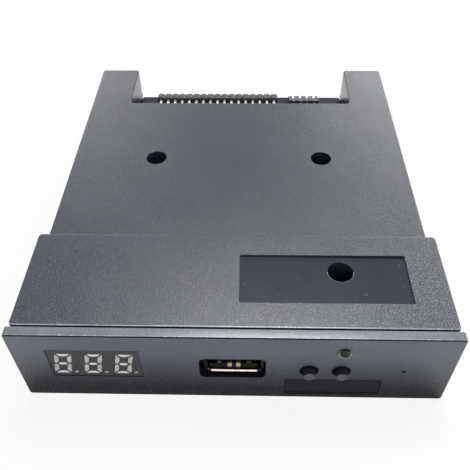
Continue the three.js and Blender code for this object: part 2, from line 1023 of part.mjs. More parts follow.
// A chip lying on the plane z = 0, with bent leads along two or all four of its sides
function chip(values, length, width, sides) {
  const { thickness, leads, leadPitch, leadWidth, leadLength, leadThickness, standOff } = values;
  const body = block(about(0, length), about(0, width), [standOff, standOff + thickness]);
  const shoulder = standOff + thickness / 2;
  const lead = (reach) => outline([
    [0, shoulder - leadThickness], [reach, shoulder - leadThickness], [reach, 0],
    [reach + leadLength, 0], [reach + leadLength, leadThickness],
    [reach + leadThickness, leadThickness], [reach + leadThickness, shoulder], [0, shoulder],
  ]);
  const side = (reach) => join(rowPlaces(leads, leadPitch).map(
    (x) => alongX(lead(reach), about(x, leadWidth)),
  ));
  const reaches = [width / 2, length / 2, width / 2, length / 2];
  const turns = sides === 2 ? [0, 2] : [0, 1, 2, 3];
  return join([body, ...turns.map((turn) => side(reaches[turn]).rotate([0, 0, turn * rightAngle]))]);
}

function displayDriver() {
  return chip(driverChip, driverChip.length, driverChip.width, 2).rotate([-rightAngle, 0, 0]);
}

// Plastic strip with a chamfered block at each position, seen as an outline of its two long edges
function scallopedOutline(positions, pitch, [low, high], scallop) {
  const middle = (low + high) / 2;
  const half = positions * pitch / 2;
  const lower = [];
  for (let k = 0; k < positions; k += 1) {
    const x = k * pitch - half;
    lower.push([x, low + scallop], [x + scallop, low], [x + pitch - scallop, low]);
  }
  lower.push([half, low + scallop]);
  const upper = lower.map(([x, z]) => [-x, 2 * middle - z]);
  return outline([...lower, ...upper]);
}

// A pin that rises from the board at its tail and bends back through the plastic
function bentPin(x, height, tailY, tipY, width) {
  const half = width / 2;
  const profile = outline([
    [tailY - half, rest], [tailY + half, rest], [tailY + half, height - half],
    [tipY, height - half], [tipY, height + half], [tailY - half, height + half],
  ]);
  return alongX(profile, about(x, width));
}

// Right-angle link from the main board to the display's board
function displayConnector() {
  const { pins, pitch, bodyWidth, bodyHeight, setback, pinWidth } = displayLink;
  const front = board.frontY + setback;
  const height = rest + bodyHeight / 2;
  const body = block(
    about(0, pins * pitch),
    [front, front + bodyWidth],
    [rest, rest + bodyHeight],
  );
  const rods = rowPlaces(pins, pitch).map((x) => block(
    about(x, pinWidth),
    [linkY, front + bodyWidth / 2],
    about(height, pinWidth),
  ));
  return join([body, ...rods]);
}

// The connectors at the rear are laid out from the board's top
function ribbonConnector() {
  const { positions, pitch, bodyThickness, bodyHeight, pinWidth, pinReach, lowTailReach } = ribbonHeader;
  const body = alongY(
    scallopedOutline(positions, pitch, [rest, rest + bodyHeight], ribbonHeader.scallop),
    [0, bodyThickness],
  );
  const lowHeight = rest + (bodyHeight - pitch) / 2;
  const tip = bodyThickness + pinReach;
  const pins = rowPlaces(positions, pitch).flatMap((x) => [
    bentPin(x, lowHeight, -lowTailReach, tip, pinWidth),
    bentPin(x, lowHeight + pitch, -lowTailReach - pitch, tip, pinWidth),
  ]);
  return join([body, ...pins]);
}

function powerConnector() {
  const { positions, pitch, bodyWidth, bodyThickness, bodyHeight, pinWidth } = powerHeader;
  const tip = bodyThickness + powerHeader.shelfLength;
  const body = block(about(0, bodyWidth), [0, bodyThickness], [rest, rest + bodyHeight]);
  const shelf = block(
    about(0, bodyWidth),
    [bodyThickness / 2, tip],
    [rest, rest + powerHeader.shelfThickness],
  );
  const pins = rowPlaces(positions, pitch).map((x) => bentPin(
    x,
    rest + powerHeader.pinHeight,
    -powerHeader.tailReach,
    tip,
    pinWidth,
  ));
  return join([body, shelf, ...pins]);
}

function uprightHeader(positions, rows, pitch, tall) {
  const { bodyHeight, scallop, pinWidth } = jumperHeader;
  const body = alongZ(
    scallopedOutline(positions, pitch, about(0, rows * pitch), scallop),
    [rest, rest + bodyHeight],
  );
  const pins = rowPlaces(positions, pitch).flatMap((x) => rowPlaces(rows, pitch).map((y) => block(
    about(x, pinWidth),
    about(y, pinWidth),
    [rest + bodyHeight / 2, rest + tall],
  )));
  return join([body, ...pins]);
}

function jumperShunt() {
  const { width, length, height, holeWidth } = jumperCap;
  const low = rest + jumperHeader.bodyHeight + rest;
  const body = block(about(0, width), about(0, length), [low, low + height]);
  const holes = rowPlaces(jumperHeader.rows, jumperHeader.pitch).map((y) => block(
    about(0, holeWidth),
    about(y, holeWidth),
    [low - overrun, low + height + overrun],
  ));
  return cut(body, holes);
}

// The switches, buttons and lamp are laid out from their axis in the bezel's face
function switchHousing() {
  const { width, height, depth, faceInset, pocketRadius, pocketDepth } = tactSwitch;
  const front = faceInset + tactSwitch.plateThickness + rest;
  const bottom = rest - buttons.axisHeight;
  const body = block(about(0, width), [front, front + depth], [bottom, bottom + height]);
  return cut(body, [rodY(pocketRadius, [0, 0], [front - overrun, front + pocketDepth])]);
}

function switchPlate() {
  const { width, height, faceInset, plateThickness, plateHoleRadius } = tactSwitch;
  const bottom = rest - buttons.axisHeight;
  const plate = block(
    about(0, width),
    [faceInset, faceInset + plateThickness],
    [bottom, bottom + height],
  );
  return cut(plate, [rodY(plateHoleRadius, [0, 0], [0, faceInset + overrun])]);
}

function switchDome() {
  const { faceInset, plateThickness, pocketDepth, domeRadius, domeHeight, domeThickness } = tactSwitch;
  const seat = faceInset + plateThickness + pocketDepth;
  const crown = seat - domeHeight;
  return turnedY([
    [0, crown],
    [domeRadius / 2, crown + domeThickness],
    [domeRadius, seat - domeThickness],
    [domeRadius, seat],
    [domeRadius - domeThickness, seat],
    [domeRadius / 2, crown + 2 * domeThickness],
    [0, crown + domeThickness],
  ]);
}

function pushButton() {
  const { stemRadius, standOut, tipRound, flangeRadius, flangeThickness, nubRadius, nubLength } = buttons;
  const flange = tactSwitch.faceInset + tactSwitch.plateThickness + rest;
  return turnedY([
    [0, -standOut],
    [stemRadius - tipRound, -standOut],
    [stemRadius, tipRound - standOut],
    [stemRadius, flange],
    [flangeRadius, flange],
    [flangeRadius, flange + flangeThickness],
    [nubRadius, flange + flangeThickness],
    [nubRadius, flange + flangeThickness + nubLength],
    [0, flange + flangeThickness + nubLength],
  ], buttonSides);
}

function statusLamp() {
  const { bodyRadius, domeOut, length, flangeRadius, flangeThickness, leadWidth, leadReach } = led;
  const domeCentre = bodyRadius - domeOut;
  const dome = Array.from({ length: filletSteps + 1 }, (_, step) => {
    const angle = (step / filletSteps) * Math.PI / 2;
    return [bodyRadius * Math.sin(angle), domeCentre - bodyRadius * Math.cos(angle)];
  });
  const back = length - domeOut;
  const body = turnedY([
    ...dome,
    [bodyRadius, back - flangeThickness],
    [flangeRadius, back - flangeThickness],
    [flangeRadius, back],
    [0, back],
  ]);
  const leads = [-1, 1].map((side) => {
    const bend = back + leadReach;
    const profile = outline([
      [back - flangeThickness / 2, -leadWidth / 2],
      [bend - leadWidth, -leadWidth / 2],
      [bend - leadWidth, boardTop + rest - ledHeight],
      [bend, boardTop + rest - ledHeight],
      [bend, leadWidth / 2],
      [back - flangeThickness / 2, leadWidth / 2],
    ]);
    return alongX(profile, about(side * led.leadSpacing / 2, leadWidth));
  });
  return join([body, ...leads]);
}

function crystalCan() {
  const { length, width, height, brim, brimThickness } = crystal;
  const can = alongZ(
    rectangle(about(0, length - 2 * brim), about(0, width - 2 * brim), width / 2 - 2 * brim),
    [rest, rest + height],
  );
  const foot = alongZ(
    rectangle(about(0, length), about(0, width), width / 2 - brim),
    [rest, rest + brimThickness],
  );
  return can.add(foot);
}

function voltageRegulator() {
  const { width, length, thickness, tabWidth, leads, leadPitch, leadWidth } = regulator;
  const { leadLength, leadThickness } = regulator;
  const body = block(
    about(0, width),
    about(0, length),
    [rest + leadThickness / 2, rest + leadThickness / 2 + thickness],
  );
  const tab = block(about(0, tabWidth), [0, length / 2 + leadLength], [rest, rest + leadThickness]);
  const legs = rowPlaces(leads, leadPitch).map((x) => block(
    about(x, leadWidth),
    [-length / 2 - leadLength, 0],
    [rest, rest + leadThickness],
  ));
  return join([body, tab, ...legs]);
}

function capacitorCan() {
  const { radius, height, baseSide, baseHeight, baseCorner, neck, neckHeight } = capacitor;
  const half = baseSide / 2;
  const base = alongZ(outline([
    [-half, -half], [half - baseCorner, -half], [half, baseCorner - half],
    [half, half - baseCorner], [half - baseCorner, half], [-half, half],
  ]), [rest, rest + baseHeight]);
  const low = rest + baseHeight / 2;
  const can = turnedY([
    [0, low],
    [radius, low],
    [radius, low + neckHeight],
    [radius - neck, low + neckHeight + neck],
    [radius, low + neckHeight + 2 * neck],
    [radius, rest + height],
    [0, rest + height],
  ], buttonSides).rotate([rightAngle, 0, 0]);
  return base.add(can);
}

const casing = new THREE.Group();
casing.add(
  part('front_bezel', frontBezel(), finishes.bezelPlastic),
  part('top_cover', topCover(), finishes.casePlastic),
  part('bottom_tray', bottomTray(), finishes.casePlastic),
);
wells.forEach(({ centre }, k) => {
  const place = [...centre, screwSeat];
  casing.add(part(`case_screw_${k + 1}`, caseScrew(), finishes.darkSteel, place));
});

const usbGroup = new THREE.Group();
usbGroup.position.set(usbPort.centreX, usbPort.mouthInset, usbHeight);
usbGroup.add(
  part('usb_shell', usbShell(), finishes.darkSteel),
  part('usb_insulator', usbInsulator(), finishes.blackPlastic),
);
contactOffsets().forEach((x, k) => {
  const strip = usbContactStrip(Math.abs(x) === usbContact.innerOffset);
  usbGroup.add(part(`usb_contact_${k + 1}`, strip, finishes.goldPlate, [x, 0, 0]));
});

const displayGroup = new THREE.Group();
displayGroup.position.set(displayX, 0, displayZ);
displayGroup.add(
  part('display_housing', displayHousing(), finishes.displayFace),
  part('display_board', displayBoardPlate(), finishes.solderMask),
);
digitCentres.forEach(([x, z], k) => {
  displayGroup.add(part(`display_digit_${k + 1}`, displayDigit(), finishes.segmentEpoxy, [x, 0, z]));
});
displayGroup.add(part(
  'display_driver',
  displayDriver(),
  finishes.blackPlastic,
  [0, linkY, driverChip.lift],
));

const boardGroup = new THREE.Group();
boardGroup.position.z = boardTop;

boardGroup.add(
  part('main_board', mainBoard(), finishes.solderMask),
  part('display_connector', displayConnector(), finishes.blackPlastic, [displayX, 0, 0]),
  part(
    'ribbon_header',
    ribbonConnector(),
    finishes.blackPlastic,
    [ribbonHeader.centreX, shell.length - ribbonHeader.rearInset, 0],
  ),
  part(
    'power_connector',
    powerConnector(),
    finishes.greyNylon,
    [powerHeader.centreX, shell.length - powerHeader.rearInset, 0],
  ),
  part(
    'jumper_header',
    uprightHeader(jumperHeader.positions, jumperHeader.rows, jumperHeader.pitch, jumperHeader.pinHeight),
    finishes.blackPlastic,
    [jumperX, jumperY, 0],
  ),
  part(
    'service_header',
    uprightHeader(serviceHeader.positions, 1, serviceHeader.pitch, jumperHeader.pinHeight),
    finishes.blackPlastic,
    [halfWidth - serviceHeader.rightInset, serviceHeader.centreY, 0],
  ),
  part(
    'main_chip',
    chip(mainChip, mainChip.side, mainChip.side, 4),
    finishes.blackPlastic,
    [mainChip.centreX, mainChip.centreY, rest],
  ),
  part('crystal', crystalCan(), finishes.tinPlate, [crystal.centreX, crystal.centreY, 0]),
  part(
    'voltage_regulator',
    voltageRegulator(),
    finishes.blackPlastic,
    [halfWidth - regulator.rightInset, notchY - regulator.notchInset, 0],
  ),
);
const jumperPlaces = rowPlaces(jumperHeader.positions, jumperHeader.pitch);
[jumperCap.firstPosition, jumperCap.secondPosition].forEach((slot, k) => {
  const place = [jumperX + jumperPlaces[slot], jumperY, 0];
  boardGroup.add(part(`jumper_cap_${k + 1}`, jumperShunt(), finishes.blueBox, place));
});
const capacitorPlaces = [
  [halfWidth - capacitor.firstRightInset, notchY - capacitor.firstRearInset, 0],
  [halfWidth - capacitor.secondRightInset, notchY - capacitor.secondRearInset, 0],
];
capacitorPlaces.forEach((place, k) => {
  boardGroup.add(part(`capacitor_${k + 1}`, capacitorCan(), finishes.aluminiumCan, place));
});

const controls = new THREE.Group();
['left', 'right'].forEach((side, k) => {
  const place = [buttons.leftX + k * buttons.spacing, 0, buttonHeight];
  controls.add(
    part(`${side}_button`, pushButton(), finishes.blackPlastic, place),
    part(`${side}_switch_housing`, switchHousing(), finishes.blackPlastic, place),
    part(`${side}_switch_plate`, switchPlate(), finishes.tinPlate, place),
    part(`${side}_switch_dome`, switchDome(), finishes.tinPlate, place),
  );
});
controls.add(part('status_lamp', statusLamp(), finishes.greenLens, [led.centreX, 0, ledHeight]));

// The origin lies under the middle of the whole object, on its underside
const emulator = new THREE.Group();
emulator.position.y = (buttons.standOut - shell.length) / 2;
emulator.add(casing, usbGroup, displayGroup, boardGroup, controls);

export default emulator;
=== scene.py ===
import math

import bpy
from mathutils import Matrix, Vector


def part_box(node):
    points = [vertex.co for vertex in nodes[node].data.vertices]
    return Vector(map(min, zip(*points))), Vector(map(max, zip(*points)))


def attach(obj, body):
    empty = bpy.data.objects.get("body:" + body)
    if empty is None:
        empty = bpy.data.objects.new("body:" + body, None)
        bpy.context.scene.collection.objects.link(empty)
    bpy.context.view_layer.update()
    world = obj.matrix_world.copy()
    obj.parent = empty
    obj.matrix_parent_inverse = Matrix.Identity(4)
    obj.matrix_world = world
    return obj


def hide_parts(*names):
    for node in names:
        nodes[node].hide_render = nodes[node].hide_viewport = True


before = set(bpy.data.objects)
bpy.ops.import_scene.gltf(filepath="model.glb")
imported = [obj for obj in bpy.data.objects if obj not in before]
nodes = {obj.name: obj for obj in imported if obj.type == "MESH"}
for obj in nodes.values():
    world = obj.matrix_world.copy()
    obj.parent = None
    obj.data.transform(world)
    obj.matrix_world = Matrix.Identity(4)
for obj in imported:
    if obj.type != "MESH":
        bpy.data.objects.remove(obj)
scene = bpy.context.scene
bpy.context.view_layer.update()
mm = 0.001
weld = 0.002 * mm  # corners closer than this are one corner
near = 10 * weld  # points closer than this are meant to be one
square = 0.9  # a direction with more than this along an axis counts as along it
flatBelow = 1  # facets that meet at less than this, in degrees, are one flat face
roundSides = 40  # a turned piece is shaded smooth where its facets meet at less than this
beyond = 1  # a cutting tool goes this far past the face that it opens
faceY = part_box("front_bezel")[0].y


# Places are in millimetres: right of the middle, behind the bezel's face, and above the underside

def at(x, y, z):
    return Vector((x * mm, faceY + y * mm, z * mm))


def inMillimetres(point):
    return Vector((point.x, point.y - faceY, point.z)) / mm


def nodeBox(name):
    low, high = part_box(name)
    return inMillimetres(low), inMillimetres(high)


def middleOf(name):
    low, high = nodeBox(name)
    return (low + high) / 2


# The camera stands where the photographer's lens stood
camera = {"place": (3.159, -72.179, 132.61), "down": 46.107, "roll": -0.854, "turn": 1.847,
          "lens": 45.04, "nearest": 0.01}


def addCamera(name, values):
    down, roll, turn = (math.radians(values[key]) for key in ("down", "roll", "turn"))
    forward = Vector((-math.sin(turn) * math.cos(down), math.cos(turn) * math.cos(down), -math.sin(down)))
    level = Vector((math.cos(turn), math.sin(turn), 0))
    steep = level.cross(forward)
    right = math.cos(roll) * level + math.sin(roll) * steep
    up = math.cos(roll) * steep - math.sin(roll) * level
    data = bpy.data.cameras.new(name)
    data.lens = values["lens"]
    data.clip_start = values["nearest"]
    seen = bpy.data.objects.new(name, data)
    axes = Matrix((right, up, -forward)).transposed().to_4x4()
    seen.matrix_world = Matrix.Translation(at(*values["place"])) @ axes
    scene.collection.objects.link(seen)
    scene.camera = seen


addCamera("photo_camera", camera)
print("camera placed")


# Hand tools, each a few steps that a modeller repeats

def deselectAll():
    if bpy.context.mode != "OBJECT":
        bpy.ops.object.mode_set(mode="OBJECT")
    bpy.ops.object.select_all(action="DESELECT")


def activate(*pieces):
    deselectAll()
    for piece in pieces:
        piece.select_set(True)
    bpy.context.view_layer.objects.active = pieces[0]


def settle(piece, name):
    piece.name = piece.data.name = name
    activate(piece)
    bpy.ops.object.transform_apply(location=True, rotation=True, scale=True)
    return piece


def startBlock(name, low, high):
    deselectAll()
    low, high = at(*low), at(*high)
    bpy.ops.mesh.primitive_cube_add(size=1, location=(low + high) / 2)
    bpy.context.active_object.scale = high - low
    return settle(bpy.context.active_object, name)


def startRod(name, radius, start, end, sides):
    deselectAll()
    start, end = at(*start), at(*end)
    turn = (end - start).to_track_quat("Z", "Y").to_euler()
    bpy.ops.mesh.primitive_cylinder_add(
        vertices=sides, radius=radius * mm, depth=(end - start).length, location=(start + end) / 2,
        rotation=turn)
    return settle(bpy.context.active_object, name)


def select(piece, kind, test):  # kind is the place of vertex, edge or face in the select mode
    activate(piece)
    mesh = piece.data
    groups = (mesh.vertices, mesh.edges, mesh.polygons)
    for group in groups:
        group.foreach_set("select", [False] * len(group))
    groups[kind].foreach_set("select", [bool(test(item)) for item in groups[kind]])
    bpy.context.tool_settings.mesh_select_mode = tuple(k == kind for k in range(len(groups)))
    bpy.ops.object.mode_set(mode="EDIT")


def selectAll(piece):
    select(piece, 0, lambda point: True)


def selectFaces(piece, test):
    select(piece, 2, test)


def selectEdges(piece, test):  # the test gets an edge's middle and its direction
    points = [vertex.co.copy() for vertex in piece.data.vertices]

    def edgeTest(edge):
        a, b = (points[k] for k in edge.vertices)
        return test((a + b) / 2, (b - a).normalized())

    select(piece, 1, edgeTest)


def leaveEdit():
    bpy.ops.object.mode_set(mode="OBJECT")


def extrudeBy(step):
    bpy.ops.mesh.extrude_region_move(TRANSFORM_OT_translate={"value": step})


def tidyNormals(piece):
    selectAll(piece)
    bpy.ops.mesh.remove_doubles(threshold=weld)
    bpy.ops.mesh.normals_make_consistent(inside=False)
    leaveEdit()


def applyModifier(piece, kind, **settings):
    activate(piece)
    modifier = piece.modifiers.new(kind.lower(), kind)
    for key, value in settings.items():
        setattr(modifier, key, value)
    bpy.ops.object.modifier_apply(modifier=modifier.name)


def smooth(piece, angle=35):
    activate(piece)
    bpy.ops.object.shade_smooth_by_angle(angle=math.radians(angle))
    return piece


def roundEdges(piece, width, segments=2, angle=40):
    applyModifier(piece, "BEVEL", width=width * mm, segments=segments, limit_method="ANGLE",
                  angle_limit=math.radians(angle), use_clamp_overlap=False, harden_normals=False)
    smooth(piece)
    applyModifier(piece, "WEIGHTED_NORMAL", keep_sharp=True)
    return piece


def cutAcross(piece, height):  # a new row of edges round a finished piece, at a height
    selectAll(piece)
    bpy.ops.mesh.bisect(plane_co=at(0, 0, height), plane_no=(0, 0, 1))
    leaveEdit()
    applyModifier(piece, "WEIGHTED_NORMAL", keep_sharp=True)


def cutWith(piece, tool):
    applyModifier(piece, "BOOLEAN", operation="DIFFERENCE", solver="EXACT", object=tool)
    bpy.data.objects.remove(tool, do_unlink=True)


def copyPiece(piece, name, step):
    copy = bpy.data.objects.new(name, piece.data.copy())
    copy.data.name = name
    copy.data.transform(Matrix.Translation(Vector(step) * mm))
    scene.collection.objects.link(copy)
    return copy


def joinAll(name, pieces):
    activate(*pieces)
    bpy.ops.object.join()
    return settle(pieces[0], name)


def rowOf(name, piece, steps):  # copies of a piece, in place of the one that was modelled
    copies = [copyPiece(piece, f"{name}_{k}", step) for k, step in enumerate(steps)]
    bpy.data.objects.remove(piece, do_unlink=True)
    return joinAll(name, copies)


def bentStrip(name, path, width, thickness, across=(1, 0, 0)):  # sheet metal or wire along a path
    places = [at(*point) for point in path]
    along = places[1] - places[0]
    side = Vector(across)
    turn = Matrix((side, along.normalized(), side.cross(along).normalized())).transposed()
    deselectAll()
    middle = (places[0] + places[1]) / 2
    bpy.ops.mesh.primitive_plane_add(size=1, location=middle, rotation=turn.to_euler())
    piece = bpy.context.active_object
    piece.scale = (width * mm, along.length, 1)
    settle(piece, name)
    selectEdges(piece, lambda centre, direction: (centre - places[1]).length < near)
    for before, after in zip(places[1:], places[2:]):
        extrudeBy(after - before)
    leaveEdit()
    applyModifier(piece, "SOLIDIFY", thickness=thickness * mm, offset=0, use_even_offset=True)
    tidyNormals(piece)
    return piece


def taperTip(piece, tip, outward, length, share):  # the end is drawn out and narrowed, as a cut pin's is
    tip, outward = at(*tip), Vector(outward)

    def atTip(face):
        return face.normal.dot(outward) > square and abs((face.center - tip).dot(outward)) < near

    selectFaces(piece, atTip)
    extrudeBy(outward * length * mm)
    bpy.ops.transform.resize(value=(share, share, share), center_override=tip + outward * length * mm)
    leaveEdit()


def turned(name, centre, axis, profile, sides):  # a profile of radius and distance, spun round the axis
    centre, axis = at(*centre), Vector(axis)
    out = Vector((1, 0, 0))
    places = [centre + axis * along * mm + out * radius * mm for radius, along in profile]
    deselectAll()
    bpy.ops.mesh.primitive_plane_add(size=mm, location=places[0])
    piece = settle(bpy.context.active_object, name)
    selectAll(piece)
    bpy.ops.mesh.merge(type="CENTER")
    for before, after in zip(places, places[1:]):
        bpy.ops.mesh.extrude_vertices_move(TRANSFORM_OT_translate={"value": after - before})
    bpy.ops.mesh.select_all(action="SELECT")
    bpy.ops.mesh.spin(steps=sides, angle=math.tau, center=centre, axis=axis)
    leaveEdit()
    tidyNormals(piece)
    return smooth(piece, roundSides)


# Materials, built from nodes on each object's own coordinates

def toLinear(code):  # a screen colour, through the usual sRGB curve
    channels = [int(code[k:k + 2], 16) / 255 for k in (1, 3, 5)]
    return tuple(c / 12.92 if c <= 0.04045 else ((c + 0.055) / 1.055) ** 2.4 for c in channels) + (1,)


def grey(value):
    return (value, value, value, 1)


def addNode(owner, kind, settings=None):  # settings are properties, values of inputs and sockets to link
    node = owner.node_tree.nodes.new(kind)
    for key, value in (settings or {}).items():
        if isinstance(value, bpy.types.NodeSocket):
            owner.node_tree.links.new(value, node.inputs[key])
        elif key == "stops":
            for element, (place, level) in zip(node.color_ramp.elements, value):
                element.position, element.color = place, grey(level)
        elif isinstance(key, int) or key in node.inputs:
            node.inputs[key].default_value = value
        else:
            setattr(node, key, value)
    return node


def newMaterial(name):
    material = bpy.data.materials.new(name)
    material.use_nodes = True
    material.node_tree.nodes.clear()
    return material, addNode(material, "ShaderNodeTexCoord").outputs["Object"]


def mottle(material, place, size, detail, span, levels=(0, 1), stretch=(1, 1, 1)):
    # Blotches of a size in millimetres, as they are and as levels that change over a span of them
    mapped = addNode(material, "ShaderNodeMapping", {"Scale": stretch, "Vector": place}).outputs[0]
    bare = addNode(material, "ShaderNodeTexNoise", {
        "Scale": 1 / (size * mm), "Detail": detail, "Vector": mapped}).outputs[0]
    return bare, addNode(material, "ShaderNodeValToRGB", {"stops": zip(span, levels), 0: bare}).outputs[0]


def coats(material, colour, *layers):  # a colour under coats, each one a mask and what shows where it is full
    mixed, first, second = 2, 6, 7  # the places of the colour sockets
    for share, coat in layers:
        settings = {"data_type": "RGBA", 0: share, first: colour, second: coat}
        colour = addNode(material, "ShaderNodeMix", settings).outputs[mixed]
    return colour


def finishWith(material, settings, height, strength, depth):  # the surface, with a relief in millimetres
    bump = addNode(material, "ShaderNodeBump", {
        "Strength": strength, "Distance": depth * mm, "Height": height})
    shader = addNode(material, "ShaderNodeBsdfPrincipled", {**settings, "Normal": bump.outputs[0]})
    addNode(material, "ShaderNodeOutputMaterial", {"Surface": shader.outputs[0]})
    return material


# What the moulded plastics share, with pattern sizes in millimetres. Each one says where it differs.
plastic = {"cloud": 2, "cloudDetail": 3, "grain": 0.25, "grainDetail": 2, "speck": 0.3, "speckDetail": 1,
           "speckFrom": 0.66, "speckSpan": 0.1, "roughness": (0.38, 0.5), "relief": 0.15, "grainDepth": 0.01,
           "specular": 0.5, "ior": 1.5}
mostNoise = (0.3, 0.7)  # nearly all of a noise pattern lies between these


def mouldedPlastic(name, dark, light, bright, **changes):
    # Colour in soft blotches, an eroded grain, and specks where it is rubbed
    values = {**plastic, **changes}
    material, place = newMaterial(name)
    start, end = values["speckFrom"], values["speckFrom"] + values["speckSpan"]
    cloud = mottle(material, place, values["cloud"], values["cloudDetail"], mostNoise)[1]
    grain, rough = mottle(material, place, values["grain"], values["grainDetail"], mostNoise,
                          values["roughness"][::-1])
    lit = mottle(material, place, values["speck"], values["speckDetail"], (start, end))[1]
    colour = coats(material, toLinear(dark), (cloud, toLinear(light)))
    if "foot" in values:  # painted shade: the colour darkens low down
        height = addNode(material, "ShaderNodeSeparateXYZ", {0: place}).outputs["Z"]
        low, high = (level * mm for level in values["footHeight"])
        rise = addNode(material, "ShaderNodeMapRange", {"Value": height, "From Min": low, "From Max": high})
        colour = coats(material, toLinear(values["foot"]), (rise.outputs[0], colour))
    colour = coats(material, colour, (lit, toLinear(bright)))
    if "speckRoughness" in values:  # the specks are small polished facets, which sparkle in a highlight
        rough = coats(material, rough, (lit, grey(values["speckRoughness"])))
    return finishWith(material, {
        "Base Color": colour, "Roughness": rough, "IOR": values["ior"],
        "Specular IOR Level": values["specular"]}, grain, values["relief"], values["grainDepth"])


# ABS, moulded in a spark-eroded tool: an even satin grain that breaks the highlight into fine specks
coverAbs = mouldedPlastic(
    "abs_moulded_spark_grain", "#262b35", "#2d323c", "#3c414b", cloud=14, grain=0.24, speck=0.35,
    speckFrom=0.56, roughness=(0.16, 0.27), relief=1, grainDepth=0.07, speckRoughness=0.05)
# The same ABS from a polished inset of the tool: the label's recess is darker and even, with a little dust
recessAbs = mouldedPlastic(
    "abs_moulded_smooth_inset", "#1b2029", "#212732", "#74777d", cloud=12, grain=0.8, speck=0.7,
    speckFrom=0.74, roughness=(0.3, 0.36), relief=0.06, grainDepth=0.02, specular=0.16)
# ABS with a finer, glossier grain, as a visible front is tooled; lighter than the cover's grey as painted
# light on a front that the lamps light less, and darkened towards its foot as painted shade
bezelPaintedLightAbs = mouldedPlastic(
    "abs_fine_grain_painted_light_and_shade", "#50545e", "#5a5e69", "#6a6e79", cloud=16, grain=0.35, speck=0.35,
    roughness=(0.28, 0.4), relief=0.12, grainDepth=0.02, foot="#04060f", footHeight=(4.2, 19.4))
# Nearly black painted shade for the seams, the bezel's top edge facets and the tray's sill, with little grain
paintedShadeAbs = mouldedPlastic(
    "abs_painted_shade_dark_lines", "#08090b", "#0d0e11", "#191a1f", cloud=9, grain=0.4, speck=0.4,
    speckFrom=0.7, roughness=(0.6, 0.75), relief=0.1, grainDepth=0.02, specular=0.04)
# Outer edges: paler than the face beside them, and shinier; the pale grey is painted highlight
paintedHighlight = {"dark": "#777a81", "light": "#92959c", "bright": "#b4b7bd", "cloud": 5, "grain": 0.4, "speck": 0.5,
          "speckFrom": 0.58, "roughness": (0.2, 0.32), "relief": 0.1, "grainDepth": 0.02}
bezelEdgeHighlight = mouldedPlastic("abs_bezel_edge_painted_highlight", **paintedHighlight)
coverEdgeHighlight = mouldedPlastic("abs_cover_edge_painted_highlight", **paintedHighlight)
# The bezel's top face: polished a little and a paler grey, halfway to the edge's, as painted sheen
bezelTopSheen = mouldedPlastic("abs_bezel_top_painted_sheen", **{
    **paintedHighlight, "dark": "#666971", "light": "#72757d", "bright": "#7d8088", "grain": 0.25, "speckFrom": 0.64})
# The shallow field under the buttons keeps the tool's own polish, nearly black; the same near-black is
# painted shade on the walls of the port's slot
fieldAndSlotShadeAbs = mouldedPlastic(
    "abs_polished_field_and_slot_shade", "#14151c", "#1a1b24", "#292a34", cloud=9, grain=0.5, speck=0.4,
    speckFrom=0.68, roughness=(0.26, 0.34), relief=0.06, grainDepth=0.02, specular=0.25)
# Glass-filled nylon of pin strips and switches: near black, dull, with a fibre mottle
blackNylon = mouldedPlastic(
    "nylon_moulded_glass_filled", "#111214", "#1b1c1f", "#36373a", cloud=1.6, speckFrom=0.68,
    roughness=(0.42, 0.58), relief=0.2)
# The ribbon strip in the open notch: the same nylon, a lighter grey
lighterNylon = mouldedPlastic(
    "nylon_moulded_lighter_grey", "#3a3b3e", "#505155", "#85868a", cloud=1.4, speckFrom=0.6, roughness=(0.5, 0.65),
    relief=0.2, specular=0.3)
# The port's tongue is the same nylon in a polished tool: black and wet-looking
tongueNylon = mouldedPlastic(
    "nylon_moulded_polished_black", "#0b0b0c", "#121214", "#222325", grain=0.3, speck=0.25, speckFrom=0.7,
    roughness=(0.2, 0.28), relief=0.08, specular=0.2)
# Push buttons: black ABS on their sides
buttonAbs = mouldedPlastic(
    "abs_moulded_button_black", "#0d0e10", "#141518", "#2a2b2e", roughness=(0.36, 0.5), specular=0.3)
# Their tips: a paler grey on the faces that look forward
tipAbs = mouldedPlastic(
    "abs_lighter_button_tip", "#404245", "#4b4e52", "#64676b", cloud=1.1, grain=0.2, speck=0.25,
    speckFrom=0.62, roughness=(0.3, 0.42), relief=0.2)
# Unfilled grey nylon of the power connector: a step lighter than the black, waxy
greyNylon = mouldedPlastic(
    "nylon_moulded_grey", "#3e4146", "#494c51", "#62656a", cloud=2.5, grain=0.3, speck=0.4, speckFrom=0.68)
# Blue nylon of the jumper caps
blueNylon = mouldedPlastic("nylon_moulded_blue", "#1f3a60", "#2c4f7e", "#5a7aa5", speckFrom=0.68)
# Display face: grey screen ink on black plastic, flat with a faint print mottle
faceInk = mouldedPlastic(
    "ink_screened_dark_grey", "#2c2d31", "#343539", "#404146", cloud=3, grain=0.3, speck=0.35,
    roughness=(0.42, 0.54), relief=0.1)
# Level segment windows: milky epoxy poured into the face, unlit and nearly white
segmentEpoxy = mouldedPlastic(
    "epoxy_poured_milky", "#cbcbc6", "#dedddb", "#e9e9e7", cloud=1.4, grain=0.3, speck=0.4, speckFrom=0.6,
    roughness=(0.25, 0.36), relief=0.1)
# Upright windows: the same epoxy over the bond wires, which show through as a grey mottle
wiredEpoxy = mouldedPlastic(
    "epoxy_poured_over_wires", "#92928d", "#cacac5", "#e0e0de", cloud=0.55, speck=0.4, speckFrom=0.56,
    roughness=(0.25, 0.36))
# The small points hold less epoxy, so the dark cup behind them shows
dotEpoxy = mouldedPlastic(
    "epoxy_poured_thin", "#85847f", "#a3a29c", "#bab9b3", cloud=0.5, grain=0.2, speckFrom=0.62,
    roughness=(0.25, 0.36), relief=0.1)
# Moulding compound of the chips: charcoal, dull and sandy
chipEpoxy = mouldedPlastic(
    "epoxy_moulded_chip_black", "#1a1b1c", "#242526", "#454647", cloud=1.2, grain=0.12, speck=0.15,
    speckFrom=0.64, roughness=(0.5, 0.7), relief=0.3)
